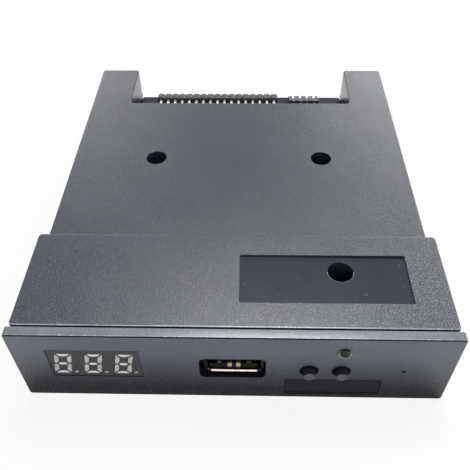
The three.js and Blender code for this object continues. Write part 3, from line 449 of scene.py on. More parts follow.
# Fired ceramic of the smallest capacitors
tanCeramic = mouldedPlastic(
    "ceramic_fired_tan", "#8a6f4e", "#a2845f", "#bda27d", cloud=0.5, grain=0.1, speck=0.2,
    roughness=(0.35, 0.5), relief=0.2)

metals = {"tarnish": (0.35, 0.68), "tarnishDetail": 3, "lineDetail": 2, "relief": 0.12, "lineDepth": 0.01}


def metal(name, light, dark, blotch, line, stretch, roughness):
    # Plated or drawn metal, with tarnish in blotches and the fine lines of its making
    material, place = newMaterial(name)
    tarnish = mottle(material, place, blotch, metals["tarnishDetail"], metals["tarnish"])[1]
    lines, rough = mottle(material, place, line, metals["lineDetail"], mostNoise, roughness, stretch)
    colour = coats(material, toLinear(light), (tarnish, toLinear(dark)))
    return finishWith(material, {"Metallic": 1, "Base Color": colour, "Roughness": rough}, lines,
                      metals["relief"], metals["lineDepth"])


# Matt tin plating on pins and leads: pale, faintly yellow, softly frosted
tinPlate = metal("tin_plated_pin", "#f0f0ea", "#d2d4cc", blotch=0.8, line=0.15, stretch=(1, 0.2, 1),
                 roughness=(0.22, 0.4))
# Solder that froze round a pin: brighter and smoother than the tin
solder = metal("solder_frozen_bright", "#e6e5df", "#b3b4b0", blotch=0.5, line=0.3, stretch=(1, 1, 1),
               roughness=(0.14, 0.3))
# Flash gold over nickel on the port's inner contacts: pale, wiped bright by the plugs
goldFlash = metal("gold_flash_wiped", "#f3ebd9", "#cfc5ac", blotch=0.9, line=0.12, stretch=(1, 0.15, 1),
                  roughness=(0.2, 0.36))
# The outer contacts' plating, dull, and darkened as painted shade under the shell's roof
goldShaded = metal("gold_flash_painted_shade", "#8f8468", "#625a44", blotch=0.9, line=0.12, stretch=(1, 0.15, 1),
                 roughness=(0.34, 0.5))
# Drawn aluminium of the capacitor cans: pale, with fine lines up the side
canAluminium = metal("aluminium_drawn_can", "#cfd1d3", "#aeb1b4", blotch=1.5, line=0.12, stretch=(1, 1, 0.1),
                     roughness=(0.24, 0.4))
# Spring steel of the switches' plates and domes: bright, rolled
springSteel = metal("spring_steel_rolled", "#c4c6c8", "#9b9da0", blotch=1.2, line=0.1, stretch=(0.15, 1, 1),
                    roughness=(0.2, 0.34))
# Blackened steel screws: dark, with a soft gleam where the driver has turned
blackSteel = metal("steel_blackened_screw", "#303236", "#17181a", blotch=0.7, line=0.15, stretch=(1, 1, 0.3),
                   roughness=(0.34, 0.52))
# Black nickel over the port's folded steel: glossy and dark, with the lines of its stamping
portSteel = metal("steel_black_nickel_port", "#2a2b2f", "#151618", blotch=1.4, line=0.15, stretch=(1, 0.2, 1),
                  roughness=(0.18, 0.3))
# Its lower lip, burnished through to warm bare nickel by the plugs that slid over it, and made this pale as a
# painted highlight along the mouth
burnishedHighlightSteel = metal("steel_burnished_lip_painted_highlight", "#d6cdc1", "#b3aa9e", blotch=0.9, line=0.2, stretch=(1, 0.3, 1),
                  roughness=(0.26, 0.4))
print("plastics and metals ready")


def boardMaterial(name, values):
    # Solder mask over copper: dark and satin, lighter where tracks run under it, with tinned via holes
    material, place = newMaterial(name)
    flat = addNode(material, "ShaderNodeMapping", {"Scale": values["flat"], "Vector": place}).outputs[0]
    cells = {"Scale": 1 / (values["trackPitch"] * mm), "Vector": flat, "distance": "MANHATTAN"}
    nearest, second = (addNode(material, "ShaderNodeTexVoronoi", {**cells, "feature": feature}).outputs[0]
                       for feature in ("F1", "F2"))
    gap = addNode(material, "ShaderNodeMath", {"operation": "SUBTRACT", 0: second, 1: nearest}).outputs[0]
    track = addNode(material, "ShaderNodeValToRGB", {"stops": values["trackEdge"], 0: gap}).outputs[0]
    hole = addNode(material, "ShaderNodeTexVoronoi", {"Scale": 1 / (values["viaPitch"] * mm), "Vector": flat})
    via = addNode(material, "ShaderNodeValToRGB", {"stops": values["viaEdge"], 0: hole.outputs[0]}).outputs[0]
    weave = addNode(material, "ShaderNodeTexNoise", {
        "Scale": 1 / (values["weave"] * mm), "Detail": 2, "Vector": place}).outputs[0]
    colour = coats(material, toLinear(values["mask"]), (track, toLinear(values["overCopper"])),
                   (via, toLinear(values["tin"])))
    height = addNode(material, "ShaderNodeMath", {
        "operation": "MULTIPLY_ADD", 0: weave, 1: values["weaveShare"], 2: track}).outputs[0]
    return finishWith(material, {"Base Color": colour, "Roughness": 0.5, "Specular IOR Level": 0.15}, height,
                      values["relief"], values["trackDepth"])


def laminateMaterial(values):
    # Glass epoxy at the board's cut edge: dull olive, in the thin layers that it was pressed from
    material, place = newMaterial("glass_epoxy_cut_edge")
    bandsInUnit = math.tau / 20  # one band of the wave pattern at scale 1
    layers = addNode(material, "ShaderNodeTexWave", {
        "bands_direction": "Z", "Scale": bandsInUnit / (values["layer"] * mm), "Distortion": values["waver"],
        "Vector": place}).outputs[0]
    fibre, glass = mottle(material, place, values["fibre"], values["fibreDetail"], values["glassSpan"])
    colour = coats(material, toLinear(values["dark"]), (layers, toLinear(values["light"])),
                   (glass, toLinear(values["glass"])))
    return finishWith(material, {"Base Color": colour, "Roughness": 0.7}, fibre, values["relief"],
                      values["fibreDepth"])


def lensMaterial(values):
    # Green-tinted clear epoxy of the lamp: unlit and dark in its middle, and paler towards the lower rim as a
    # painted reflection of the floor
    material, place = newMaterial("epoxy_green_tint_painted_reflection")
    flat = addNode(material, "ShaderNodeMapping", {"Scale": (1, 0, 1), "Vector": place}).outputs[0]
    low, high = nodeBox("status_lamp")
    centre = ((low.x + high.x) / 2 * mm, 0, (high.z - values["flange"] + values["darkLift"]) * mm)
    away = addNode(material, "ShaderNodeVectorMath", {"operation": "DISTANCE", 0: flat, 1: centre})
    # painted reflection: the colour pales with distance from the lens's dark middle
    rim = addNode(material, "ShaderNodeMapRange", {
        "Value": away.outputs["Value"], "From Min": values["reflectionFrom"] * mm,
        "From Max": values["reflectionTo"] * mm})
    swirl, lighter = mottle(material, place, values["swirl"], values["swirlDetail"], values["swirlSpan"])
    colour = coats(material, toLinear(values["dark"]), (lighter, toLinear(values["light"])),
                   (rim.outputs[0], toLinear(values["paintedReflection"])))
    return finishWith(material, {
        "Base Color": colour, "Roughness": 0.1, "IOR": 1.5, "Transmission Weight": 0.06,
        "Specular IOR Level": 0.2}, swirl, values["relief"], values["swirlDepth"])


mask = {"mask": "#0b0e16", "overCopper": "#121622", "tin": "#b9bdb4", "weave": 0.6, "weaveShare": 0.2,
        "trackEdge": ((0.1, 1), (0.14, 0)), "viaEdge": ((0.07, 1), (0.09, 0)), "relief": 0.35,
        "trackDepth": 0.035}
boardMask = boardMaterial("solder_mask_blue_black", {
    **mask, "trackPitch": 3.2, "viaPitch": 5.2, "flat": (1, 1, 0)})
displayMask = boardMaterial("solder_mask_blue_black_display", {
    **mask, "trackPitch": 2.4, "viaPitch": 4, "flat": (1, 0, 1)})
laminate = laminateMaterial({
    "layer": 0.2, "waver": 1.5, "fibre": 0.3, "fibreDetail": 3, "glassSpan": (0.5, 0.75), "relief": 0.3,
    "fibreDepth": 0.03, "dark": "#2c3021", "light": "#4a4c35", "glass": "#676850"})
lampLens = lensMaterial({
    "swirl": 0.9, "swirlDetail": 2, "swirlSpan": (0.35, 0.7), "relief": 0.05, "swirlDepth": 0.01,
    "dark": "#0e1c14", "light": "#182d20", "paintedReflection": "#92b39d", "flange": 1.9, "darkLift": 0.9,
    "reflectionFrom": 0.9, "reflectionTo": 1.7})
print("board and lamp materials ready")


def dress(piece, material, body="case", stands=()):
    piece.data.materials.clear()
    piece.data.materials.append(material)
    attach(piece, body)
    if stands:
        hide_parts(*stands)
    return piece


def fromNode(node, name, width, material, segments=2, angle=40):
    # a copy of a node, its sharp edges a little rounded, which stands in for it
    piece = bpy.data.objects.new(name, nodes[node].data.copy())
    piece.data.name = name
    scene.collection.objects.link(piece)
    activate(piece)
    bpy.ops.mesh.customdata_custom_splitnormals_clear()
    selectAll(piece)
    bpy.ops.mesh.remove_doubles(threshold=weld)
    bpy.ops.mesh.dissolve_limited(angle_limit=math.radians(flatBelow))
    leaveEdit()
    return dress(roundEdges(piece, width, segments, angle), material, stands=[node])


def repaint(piece, material, test):  # faces with another surface; the test gets a centre and a normal
    piece.data.materials.append(material)
    slot = len(piece.data.materials) - 1
    for face in piece.data.polygons:
        if test(inMillimetres(face.center), face.normal):
            face.material_index = slot


def within(value, low, high):
    return low < value < high


def zone(**spans):  # a test: spans of the centre's x, y and z, and of the normal's parts nx, ny and nz
    def test(centre, normal):
        found = dict(zip(("x", "y", "z", "nx", "ny", "nz"), (*centre, *normal)))
        return all(within(found[key], *span) for key, span in spans.items())

    return test


# The casing's mouldings, with the small radius that their tools leave on each edge
casing = {
    "bezelRound": 0.08, "caseRound": 0.12, "sharp": 50, "lineZ": 24.98, "steep": 0.7,
    "recess": {"x": (0.5, 42), "y": (9, 25), "z": (24.6, 25.1), "nz": (square, 1.1)},
    "field": {"x": (11.5, 35.5), "y": (0.2, 0.5), "ny": (-1.1, -square)},
    "top": {"nz": (0.99, 1.1)},
    "seam": {"y": (2.2, 2.85), "ny": (-1.1, -0.7)},
    "edge": {"y": (-1, 3.3), "z": (25, 26), "ny": (-0.6, -0.2), "nz": (0.8, 1.1)},
    "rimReach": 0.6, "rimTilt": (0.2, 0.95),
    "slot": {"y": (0.05, 2.5), "ny": (-0.5, 0.5)}, "slotGap": 2,
    "sill": {"y": (116, 121), "z": (7, 9), "nz": (0.5, 1.1)}}


def makeCasing(values):
    bezel = fromNode("front_bezel", "bezel_moulding", values["bezelRound"], bezelPaintedLightAbs,
                     angle=values["sharp"])
    cover = fromNode("top_cover", "cover_moulding", values["caseRound"], coverAbs,
                     angle=values["sharp"])
    tray = fromNode("bottom_tray", "tray_moulding", values["caseRound"], coverAbs)
    repaint(cover, recessAbs, zone(**values["recess"]))
    repaint(bezel, fieldAndSlotShadeAbs, zone(**values["field"]))
    cutAcross(bezel, values["lineZ"])
    # The steep facets of the bezel's top edge: painted shade, a dark line
    repaint(bezel, paintedShadeAbs,
            lambda centre, normal: centre.z > values["lineZ"] and abs(normal.y) > values["steep"])
    # The bezel's top face: painted sheen
    repaint(bezel, bezelTopSheen, zone(z=(values["lineZ"], math.inf), **values["top"]))
    # The seam under the cover's front edge: painted shade
    repaint(cover, paintedShadeAbs, zone(**values["seam"]))
    # The front top edges of bezel and cover: painted highlight
    repaint(bezel, bezelEdgeHighlight, zone(**values["edge"]))
    repaint(cover, coverEdgeHighlight, zone(**values["edge"]))
    hole = middleOf("case_screw_3")  # the screw under the label
    reach = nodeBox("case_screw_3")[1].x - hole.x + values["rimReach"]
    # A ring of painted highlight round the edge of that screw's hole
    repaint(cover, coverEdgeHighlight, lambda centre, normal: within(normal.z, *values["rimTilt"])
            and centre.y < hole.y and math.hypot(centre.x - hole.x, centre.y - hole.y) < reach)
    low, high = nodeBox("usb_shell")
    gap = values["slotGap"]
    # The port slot's walls: the field's near-black as painted shade
    repaint(bezel, fieldAndSlotShadeAbs, zone(
        x=(low.x - gap, high.x + gap), z=(low.z - gap, high.z + gap), **values["slot"]))
    # The tray's sill behind the notch: painted shade
    repaint(tray, paintedShadeAbs, zone(**values["sill"]))


makeCasing(casing)
print("casing ready")


# Self-tapping screws with a rounded head, a cross recess and a rolled thread
screw = {"headHeight": 1.9, "shank": 1.4, "core": 1.1, "point": 0.3, "pointLength": 1.2, "neck": 1.2,
         "pitch": 0.55, "crest": (0.35, 0.5), "root": (0.85, 1), "rim": 0.1, "rimRise": 0.12,
         "crown": [(1, 0.6), (0.95, 0.75), (0.85, 0.9), (0.7, 0.97), (0.55, 1), (0, 1)],
         "cross": 2.9, "crossWidth": 0.7, "crossDepth": 1.1, "crossDraft": 0.75, "sides": 32}


def screwProfile(values, head, length):
    core, pitch = values["core"], values["pitch"]
    height = values["pointLength"] - length
    points = [(0, -length), (values["point"], -length), (core, height)]
    while height < -values["neck"]:
        for radius, shares in ((values["shank"], values["crest"]), (core, values["root"])):
            points += [(radius, height + share * pitch) for share in shares]
        height += pitch
    points += [(core, 0), (head - values["rim"], 0), (head, values["rimRise"])]
    return points + [(head * across, values["headHeight"] * up) for across, up in values["crown"]]


def makeScrew(values, name):
    low, high = nodeBox("case_screw_1")
    head = (high.x - low.x) / 2
    x, y, seat = low.x + head, low.y + head, high.z - values["headHeight"]
    piece = turned(name, (x, y, seat), (0, 0, 1), screwProfile(values, head, seat - low.z), values["sides"])
    floor = high.z - values["crossDepth"]
    long, wide = values["cross"] / 2, values["crossWidth"] / 2
    for across, along in ((long, wide), (wide, long)):
        tool = startBlock("cross", (x - across, y - along, floor), (x + across, y + along, high.z + beyond))
        selectFaces(tool, lambda face: face.normal.z < -square)
        bpy.ops.transform.resize(value=(values["crossDraft"], values["crossDraft"], 1),
                                 center_override=at(x, y, floor))
        leaveEdit()
        cutWith(piece, tool)
    return smooth(piece, roundSides)


def makeScrews(values):
    first = makeScrew(values, "first_screw")
    origin = middleOf("case_screw_1")
    for k in (1, 2, 3):
        copy = copyPiece(first, f"screw_{k}", middleOf(f"case_screw_{k}") - origin)
        dress(copy, blackSteel, stands=[f"case_screw_{k}"])
    bpy.data.objects.remove(first, do_unlink=True)


makeScrews(screw)
print("screws ready")


# The port: a folded shell with a flared mouth, a tongue, four contacts and two leaf springs in its roof
port = {"shellRound": 0.04, "tongueRound": 0.12, "lipZ": 10.16, "wall": 0.8, "wipedDrop": 0.4,
        "lip": {"nx": (-0.1, 0.1), "ny": (-1.1, -0.6), "nz": (0.6, 1.1)}, "nose": {"ny": (-1.1, -0.6)}}
contact = {"thickness": 0.22, "edge": 0.05, "wrapLength": 1.3, "noseRadius": 0.5, "noseSteps": 4,
           "ramp": 3, "springLift": 0.45, "springY": (3.4, 5, 6.2, 8.4)}
leaf = {"offset": 3, "width": 2.2, "thickness": 0.2, "y": (11, 8, 5.4, 4.4, 3.4),
        "drop": (0, 0, 0.65, 0.65, 0.35)}


def contactPath(values, low, high, tongueFront):
    half = values["thickness"] / 2
    x, top, front, rear = (low.x + high.x) / 2, high.z - half, low.y + half, high.y - half
    start, climb, fall, end = values["springY"]
    if low.y < tongueFront:  # wrapped down over the tongue's tip in a rounded nose
        radius, steps = values["noseRadius"], values["noseSteps"]
        nose = [(front, top - values["wrapLength"])]
        for turn in (math.pi / 2 * k / steps for k in range(steps + 1)):
            nose.append((front + radius * (1 - math.cos(turn)), top - radius * (1 - math.sin(turn))))
    else:
        nose = [(front, top - half), (front + values["ramp"] * half, top)]
    raised = top + values["springLift"]
    spring = [(start, top), (climb, raised), (fall, raised), (end, top)]
    return [(x, y, z) for y, z in nose + spring + [(rear, top), (rear, low.z)]]


def makePort(values):
    shell = fromNode("usb_shell", "port_shell", values["shellRound"], portSteel)
    cutAcross(shell, values["lipZ"])
    # The lower lip's faces: bare nickel, partly wear and partly painted highlight
    repaint(shell, burnishedHighlightSteel, zone(z=(0, values["lipZ"]), **values["lip"]))
    fromNode("usb_insulator", "port_tongue", values["tongueRound"], tongueNylon)
    tongueFront = nodeBox("usb_insulator")[0].y
    for k in (1, 2, 3, 4):
        low, high = nodeBox(f"usb_contact_{k}")
        path = contactPath(contact, low, high, tongueFront)
        strip = bentStrip(f"port_contact_{k}", path, high.x - low.x, contact["thickness"])
        # Each contact is first dressed in the darkened gold: painted shade
        dress(roundEdges(strip, contact["edge"]), goldShaded, stands=[f"usb_contact_{k}"])
        if low.y < tongueFront:
            repaint(strip, goldFlash, zone(z=(0, high.z - values["wipedDrop"]), **values["nose"]))
    low, high = nodeBox("usb_shell")
    roof = high.z - values["wall"] - leaf["thickness"] / 2
    for name, side in (("left", -1), ("right", 1)):
        x = (low.x + high.x) / 2 + side * leaf["offset"]
        path = [(x, y, roof - drop) for y, drop in zip(leaf["y"], leaf["drop"])]
        spring = bentStrip(f"port_spring_{name}", path, leaf["width"], leaf["thickness"])
        dress(roundEdges(spring, contact["edge"]), portSteel)


makePort(port)
print("port ready")


# The display: a block of three digits on a card of its own, with its driver chip behind
display = {"blockRound": 0.05, "digitRound": 0.03, "cardRound": 0.08, "digitWidth": 4, "barWidth": 1,
           "slant": 0.18, "dotOffset": 2.3}
driver = {"thickness": 1.4, "width": 3.9, "edge": 0.18, "leads": 8, "pitch": 1.1, "leadWidth": 0.4,
          "leadThickness": 0.22, "reach": 0.6, "foot": 0.55, "markRadius": 0.5, "markInset": 1}
# All chips: where a lead starts in the body, and the shares of its reach at which it bends
wing = {"root": 0.3, "knee": 0.45, "ankle": 0.6, "edgeShare": 0.25, "markDepth": 0.12, "markSides": 20}


def makeDigit(values, k):
    digit = fromNode(f"display_digit_{k}", f"digit_windows_{k}", values["digitRound"], segmentEpoxy,
                     segments=1)
    low, high = nodeBox(f"display_digit_{k}")
    middle, half, bar = (low.z + high.z) / 2, (high.z - low.z) / 2, values["barWidth"]
    centreX = low.x + values["slant"] * half + values["digitWidth"] / 2

    def fromCentre(centre):  # along the digit's width, measured square to its slant
        return centre.x - values["slant"] * (centre.z - middle) - centreX

    repaint(digit, wiredEpoxy, lambda centre, normal: abs(fromCentre(centre)) > bar
            and within(abs(centre.z - middle), bar / 2, half - bar))
    repaint(digit, dotEpoxy, lambda centre, normal: fromCentre(centre) > values["dotOffset"])


def gullWings(name, root, outward, down, values):
    # bent leads in a row: out of the body, down, and out again on the pad
    root, outward, down = Vector(root), Vector(outward), Vector(down)
    along = outward.cross(down).normalized()
    ankle = root + outward * (values["reach"] * wing["ankle"]) + down
    path = [root - outward * wing["root"], root + outward * (values["reach"] * wing["knee"]), ankle,
            ankle + outward * values["foot"]]
    lead = bentStrip(name, path, values["leadWidth"], values["leadThickness"], along)
    roundEdges(lead, values["leadThickness"] * wing["edgeShare"], segments=1)
    middle = (values["leads"] - 1) / 2
    steps = [along * ((k - middle) * values["pitch"]) for k in range(values["leads"])]
    return dress(rowOf(name, lead, steps), tinPlate)


def makeChip(node, name, low, high, normal, mark, sides, values):
    # a moulded body with a sunken mark near its first lead, and leads on its sides
    body = roundEdges(startBlock(f"{name}_body", low, high), values["edge"], segments=1)
    normal, mark, middle = Vector(normal), Vector(mark), (Vector(low) + Vector(high)) / 2
    cutWith(body, startRod("mark", values["markRadius"], mark - normal * wing["markDepth"],
                           mark + normal * beyond, wing["markSides"]))
    dress(smooth(body), chipEpoxy, stands=[node])
    down = normal * (normal.dot(nodeBox(node)[0] - middle) + values["leadThickness"] / 2)
    for side, outward in sides.items():
        root = middle + Vector(outward) * (values["width"] / 2)
        gullWings(f"{name}_leads_{side}", root, outward, down, values)


def makeDriver(values):
    low, high = nodeBox("display_driver")
    middle, half, inset = (low.z + high.z) / 2, values["width"] / 2, values["markInset"]
    makeChip("display_driver", "driver", (low.x, high.y - values["thickness"], middle - half),
             (high.x, high.y, middle + half), (0, 1, 0), (high.x - inset, high.y, middle + half - inset),
             {"upper": (0, 0, 1), "lower": (0, 0, -1)}, values)


fromNode("display_housing", "display_block", display["blockRound"], faceInk)
fromNode("display_board", "display_card", display["cardRound"], displayMask, segments=1)
for k in (1, 2, 3):
    makeDigit(display, k)
makeDriver(driver)
print("display ready")


# Pin strips: notched plastic bars with square pins, cut to a point at their tips
pinStrip = {"pitch": 2.54, "pin": 0.64, "tip": 0.35, "tipShare": 0.5, "edge": 0.05, "pinFoot": 0.08,
            "barRound": 0.06}
ribbon = {"count": 17, "thickness": 2.54, "reach": 6, "scallop": 0.55, "tails": (1.5, 4.04),
          "levels": (1.27, 3.81), "pin": 0.8}
upright = {"height": 2.5, "scallop": 0.4}
link = {"count": 4, "thickness": 2.5, "scallop": 0.4, "pinInset": 1}
capRound = 0.12


def makeBar(node, name, low, high, depthAxis, material, count, scallop):  # notched between its positions
    piece = startBlock(name, low, high)
    depth = Vector(depthAxis)
    selectEdges(piece, lambda centre, direction: abs(direction.dot(depth)) > square)
    bpy.ops.mesh.bevel(offset=scallop * mm, segments=1, affect="EDGES")
    leaveEdit()
    selectFaces(piece, lambda face: abs(face.normal.x) > square)
    bpy.ops.mesh.delete(type="FACE")
    leaveEdit()
    applyModifier(piece, "ARRAY", count=count, use_relative_offset=False, use_constant_offset=True,
                  constant_offset_displace=(pinStrip["pitch"] * mm, 0, 0), use_merge_vertices=True,
                  merge_threshold=near)
    select(piece, 0, lambda point: False)
    bpy.ops.mesh.select_non_manifold()
    bpy.ops.mesh.fill_holes(sides=0)
    leaveEdit()
    tidyNormals(piece)
    dress(roundEdges(piece, pinStrip["barRound"], segments=1), material, stands=[node])


def makePins(name, path, steps, width=pinStrip["pin"], outward=None):  # free tips are cut to a point
    pin = bentStrip(f"{name}_first", path, width, width)
    if outward:
        taperTip(pin, path[-1], outward, pinStrip["tip"], pinStrip["tipShare"])
    roundEdges(pin, pinStrip["edge"], segments=1)
    dress(rowOf(name, pin, steps), tinPlate)


def makeRibbonHeader(values):
    low, high = nodeBox("ribbon_header")
    pitch = pinStrip["pitch"]
    back = high.y - values["reach"]
    front = back - values["thickness"]
    makeBar("ribbon_header", "ribbon_strip", (low.x, front, low.z), (low.x + pitch, back, high.z), (0, 1, 0),
            lighterNylon, values["count"], values["scallop"])
    firstX, foot = low.x + pitch / 2, low.z - pinStrip["pinFoot"]
    steps = [(k * pitch, 0, 0) for k in range(values["count"])]
    for name, level, tail in zip(("lower", "upper"), values["levels"], values["tails"]):
        y, height = front - tail, low.z + level
        path = [(firstX, y, foot), (firstX, y, height), (firstX, high.y - pinStrip["tip"], height)]
        makePins(f"ribbon_pins_{name}", path, steps, values["pin"], (0, 1, 0))
    return [(firstX + k * pitch, front - tail) for tail in values["tails"] for k in range(values["count"])]


def makeUprightHeader(node, values, count, rows):
    low, high = nodeBox(node)
    pitch, top = pinStrip["pitch"], low.z + values["height"]
    makeBar(node, f"{node}_strip", low, (low.x + pitch, high.y, top), (0, 0, 1), blackNylon, count,
            values["scallop"])
    x, y = low.x + pitch / 2, low.y + pitch / 2
    path = [(x, y, low.z - pinStrip["pinFoot"]), (x, y, top), (x, y, high.z - pinStrip["tip"])]
    steps = [(k * pitch, row * pitch, 0) for k in range(count) for row in range(rows)]
    makePins(f"{node}_pins", path, steps, outward=(0, 0, 1))


def makeLink(values):
    low, high = nodeBox("display_connector")
    pitch, front = pinStrip["pitch"], high.y - values["thickness"]
    makeBar("display_connector", "link_strip", (low.x, front, low.z), (low.x + pitch, high.y, high.z),
            (0, 0, 1), blackNylon, values["count"], values["scallop"])
    x, height = low.x + pitch / 2, (low.z + high.z) / 2
    path = [(x, low.y, height), (x, front, height), (x, high.y - values["pinInset"], height)]
    makePins("link_pins", path, [(k * pitch, 0, 0) for k in range(values["count"])])


ribbonTails = makeRibbonHeader(ribbon)
makeUprightHeader("jumper_header", upright, count=7, rows=2)
makeUprightHeader("service_header", upright, count=4, rows=1)
makeLink(link)
for k in (1, 2):
    fromNode(f"jumper_cap_{k}", f"jumper_cap_moulding_{k}", capRound, blueNylon)
print("pin strips ready")


# The power connector: a low wall with a relief round each pin, and a shelf between two guides
power = {"count": 4, "pitch": 2.5, "wall": 2, "tail": 1.95, "reliefWidth": 1.3, "reliefDepth": 0.2,
         "shelf": 0.5, "guideWidth": 0.5, "guideHeight": 1.1, "guideInset": 1, "pin": 0.7, "pinHeight": 1.7,
         "edge": 0.08}


def makePowerConnector(values):
    low, high = nodeBox("power_connector")
    middle, front = (low.x + high.x) / 2, low.y + values["tail"]
    wallBack, inWall = front + values["wall"], front + values["wall"] / 2
    places = [middle + (k - (values["count"] - 1) / 2) * values["pitch"] for k in range(values["count"])]
    body = startBlock("power_wall", (low.x, front, low.z), (high.x, wallBack, high.z))
    half = values["reliefWidth"] / 2
    for x in places:
        cutWith(body, startBlock("relief", (x - half, front - beyond, high.z - values["reliefDepth"]),
                                 (x + half, wallBack + beyond, high.z + beyond)))
    shelf = startBlock("shelf", (low.x, inWall, low.z), (high.x, high.y, low.z + values["shelf"]))
    pieces = [body, shelf]
    for x in (low.x, high.x - values["guideWidth"]):
        corner = (x + values["guideWidth"], high.y - values["guideInset"], low.z + values["guideHeight"])
        pieces.append(startBlock("guide", (x, inWall, low.z), corner))
    body = roundEdges(joinAll("power_body", pieces), values["edge"], segments=1)
    dress(body, greyNylon, stands=["power_connector"])
    x, y, height = places[0], front - values["tail"] + values["pin"] / 2, low.z + values["pinHeight"]
    path = [(x, y, low.z - pinStrip["pinFoot"]), (x, y, height), (x, high.y - pinStrip["tip"], height)]
    makePins("power_pins", path, [(place - x, 0, 0) for place in places], values["pin"], (0, 1, 0))
    return [(place, y) for place in places]


powerTails = makePowerConnector(power)
print("power connector ready")


# The main board, its solder joints and what stands on it
board = {"round": 0.05, "cutEdge": {"nz": (-0.5, 0.5)}}
crystal = {"round": 0.35, "segments": 3}
joint = {"radius": 0.9, "height": 0.8, "neck": 0.42, "foot": 0.05, "hollow": [(0.75, 0.2), (0.55, 0.5)],
         "sides": 14}
mainChip = {"thickness": 1.4, "width": 10, "edge": 0.18, "leads": 10, "pitch": 0.8, "leadWidth": 0.3,
            "leadThickness": 0.18, "reach": 0.6, "foot": 0.55, "markRadius": 0.5, "markInset": 1.1}
regulator = {"bodyLength": 3.5, "lead": 1.5, "lift": 0.15, "draft": 0.92, "edge": 0.12, "leads": 3,
             "pitch": 2.3, "leadWidth": 0.7, "leadThickness": 0.28, "reach": 1, "foot": 0.75, "tabWidth": 3,
             "tabBends": (-0.3, 0.4, 0.7), "tabEdge": 0.06}
can = {"base": 0.8, "baseEdge": 0.08, "corner": 0.9, "sunk": 0.1, "inset": 0.15, "foot": 0.15,
       "neckHeight": 1, "neckDepth": 0.22, "neck": [(-0.3, 0), (-0.18, 0.5), (0, 1), (0.18, 0.5), (0.3, 0)],
       "crown": 0.45, "crownShares": [(0, 1), (0.3, 0.25), (1, 0)], "dip": 0.08, "stripe": 0.9, "sides": 40}
small = {"capShare": 0.28, "lift": 0.05, "edge": 0.06}
smallCapacitors = {"size": (1.6, 0.8, 0.8),
                   "places": [(-14, 50), (-14, 53), (-14, 59), (2.5, 62), (-1, 64), (-8, 64)]}
smallResistors = {"size": (1.6, 0.8, 0.45),
                  "places": [(4.5, 50), (4.5, 52), (4.5, 58), (-20, 60), (-20, 62), (20, 80), (22.5, 80)]}

mainBoard = fromNode("main_board", "main_card", board["round"], boardMask, segments=1)
repaint(mainBoard, laminate, zone(**board["cutEdge"]))
boardTop = nodeBox("main_board")[1].z


def solderJoints(name, places, values, scale=1):
    # solder drawn up round each pin in a hollow cone
    x, y = places[0]
    radius, height = values["radius"] * scale, values["height"] * scale
    profile = [(0, 0), (radius, 0), (radius, values["foot"])]
    profile += [(radius * across, height * up) for across, up in values["hollow"]]
    profile += [(values["neck"], height), (0, height)]
    cone = turned(name, (x, y, boardTop), (0, 0, 1), profile, values["sides"])
    return dress(rowOf(name, cone, [(px - x, py - y, 0) for px, py in places]), solder)


def makeMainChip(values):
    middle, top = middleOf("main_chip"), nodeBox("main_chip")[1].z
    half, inset = values["width"] / 2, values["markInset"]
    left, front = middle.x - half, middle.y - half
    makeChip("main_chip", "main_chip", (left, front, top - values["thickness"]),
             (middle.x + half, middle.y + half, top), (0, 0, 1), (left + inset, front + inset, top),
             {"front": (0, -1, 0), "rear": (0, 1, 0), "left": (-1, 0, 0), "right": (1, 0, 0)}, values)


def makeRegulator(values):
    low, high = nodeBox("voltage_regulator")
    middle, front = (low.x + high.x) / 2, low.y + values["lead"]
    back = front + values["bodyLength"]
    body = startBlock("regulator_body", (low.x, front, low.z + values["lift"]), (high.x, back, high.z))
    selectFaces(body, lambda face: face.normal.z > square)
    bpy.ops.transform.resize(value=(values["draft"], values["draft"], 1),
                             center_override=at(middle, (front + back) / 2, high.z))
    leaveEdit()
    dress(roundEdges(body, values["edge"]), chipEpoxy, stands=["voltage_regulator"])
    foot, shoulder = low.z + values["leadThickness"] / 2, (low.z + high.z) / 2
    gullWings("regulator_leads", (middle, front, shoulder), (0, -1, 0), (0, 0, foot - shoulder), values)
    root, knee, ankle = (back + bend for bend in values["tabBends"])
    path = [(middle, root, shoulder), (middle, knee, shoulder), (middle, ankle, foot), (middle, high.y, foot)]
    tab = bentStrip("regulator_tab", path, values["tabWidth"], values["leadThickness"])
    dress(roundEdges(tab, values["tabEdge"], segments=1), tinPlate)


def makeCapacitor(values, k):
    low, high = nodeBox(f"capacitor_{k}")
    middle = (low + high) / 2
    base = startBlock(f"capacitor_base_{k}", low, (high.x, high.y, low.z + values["base"]))
    selectEdges(base, lambda centre, direction: abs(direction.z) > square and centre.x > middle.x * mm)
    bpy.ops.mesh.bevel(offset=values["corner"] * mm, segments=1, affect="EDGES")
    leaveEdit()
    roundEdges(base, values["baseEdge"], segments=1)
    dress(base, blackNylon, stands=[f"capacitor_{k}"])
    seat = low.z + values["base"] - values["sunk"]
    wide, tall = (high.x - low.x) / 2 - values["inset"], high.z - seat
    neck, crown, foot, top = values["neckHeight"], values["crown"], values["foot"], tall - values["dip"]
    profile = [(0, 0), (wide - foot, 0), (wide, foot)]
    profile += [(wide - values["neckDepth"] * share, neck + rise) for rise, share in values["neck"]]
    profile += [(wide - crown * across, tall - crown * down) for across, down in values["crownShares"]]
    profile += [(wide - 2 * crown, top), (0, top)]
    sleeve = turned(f"capacitor_can_{k}", (middle.x, middle.y, seat), (0, 0, 1), profile, values["sides"])
    dress(sleeve, canAluminium)
    repaint(sleeve, chipEpoxy,
            lambda centre, normal: normal.z > square and centre.x < middle.x - values["stripe"])


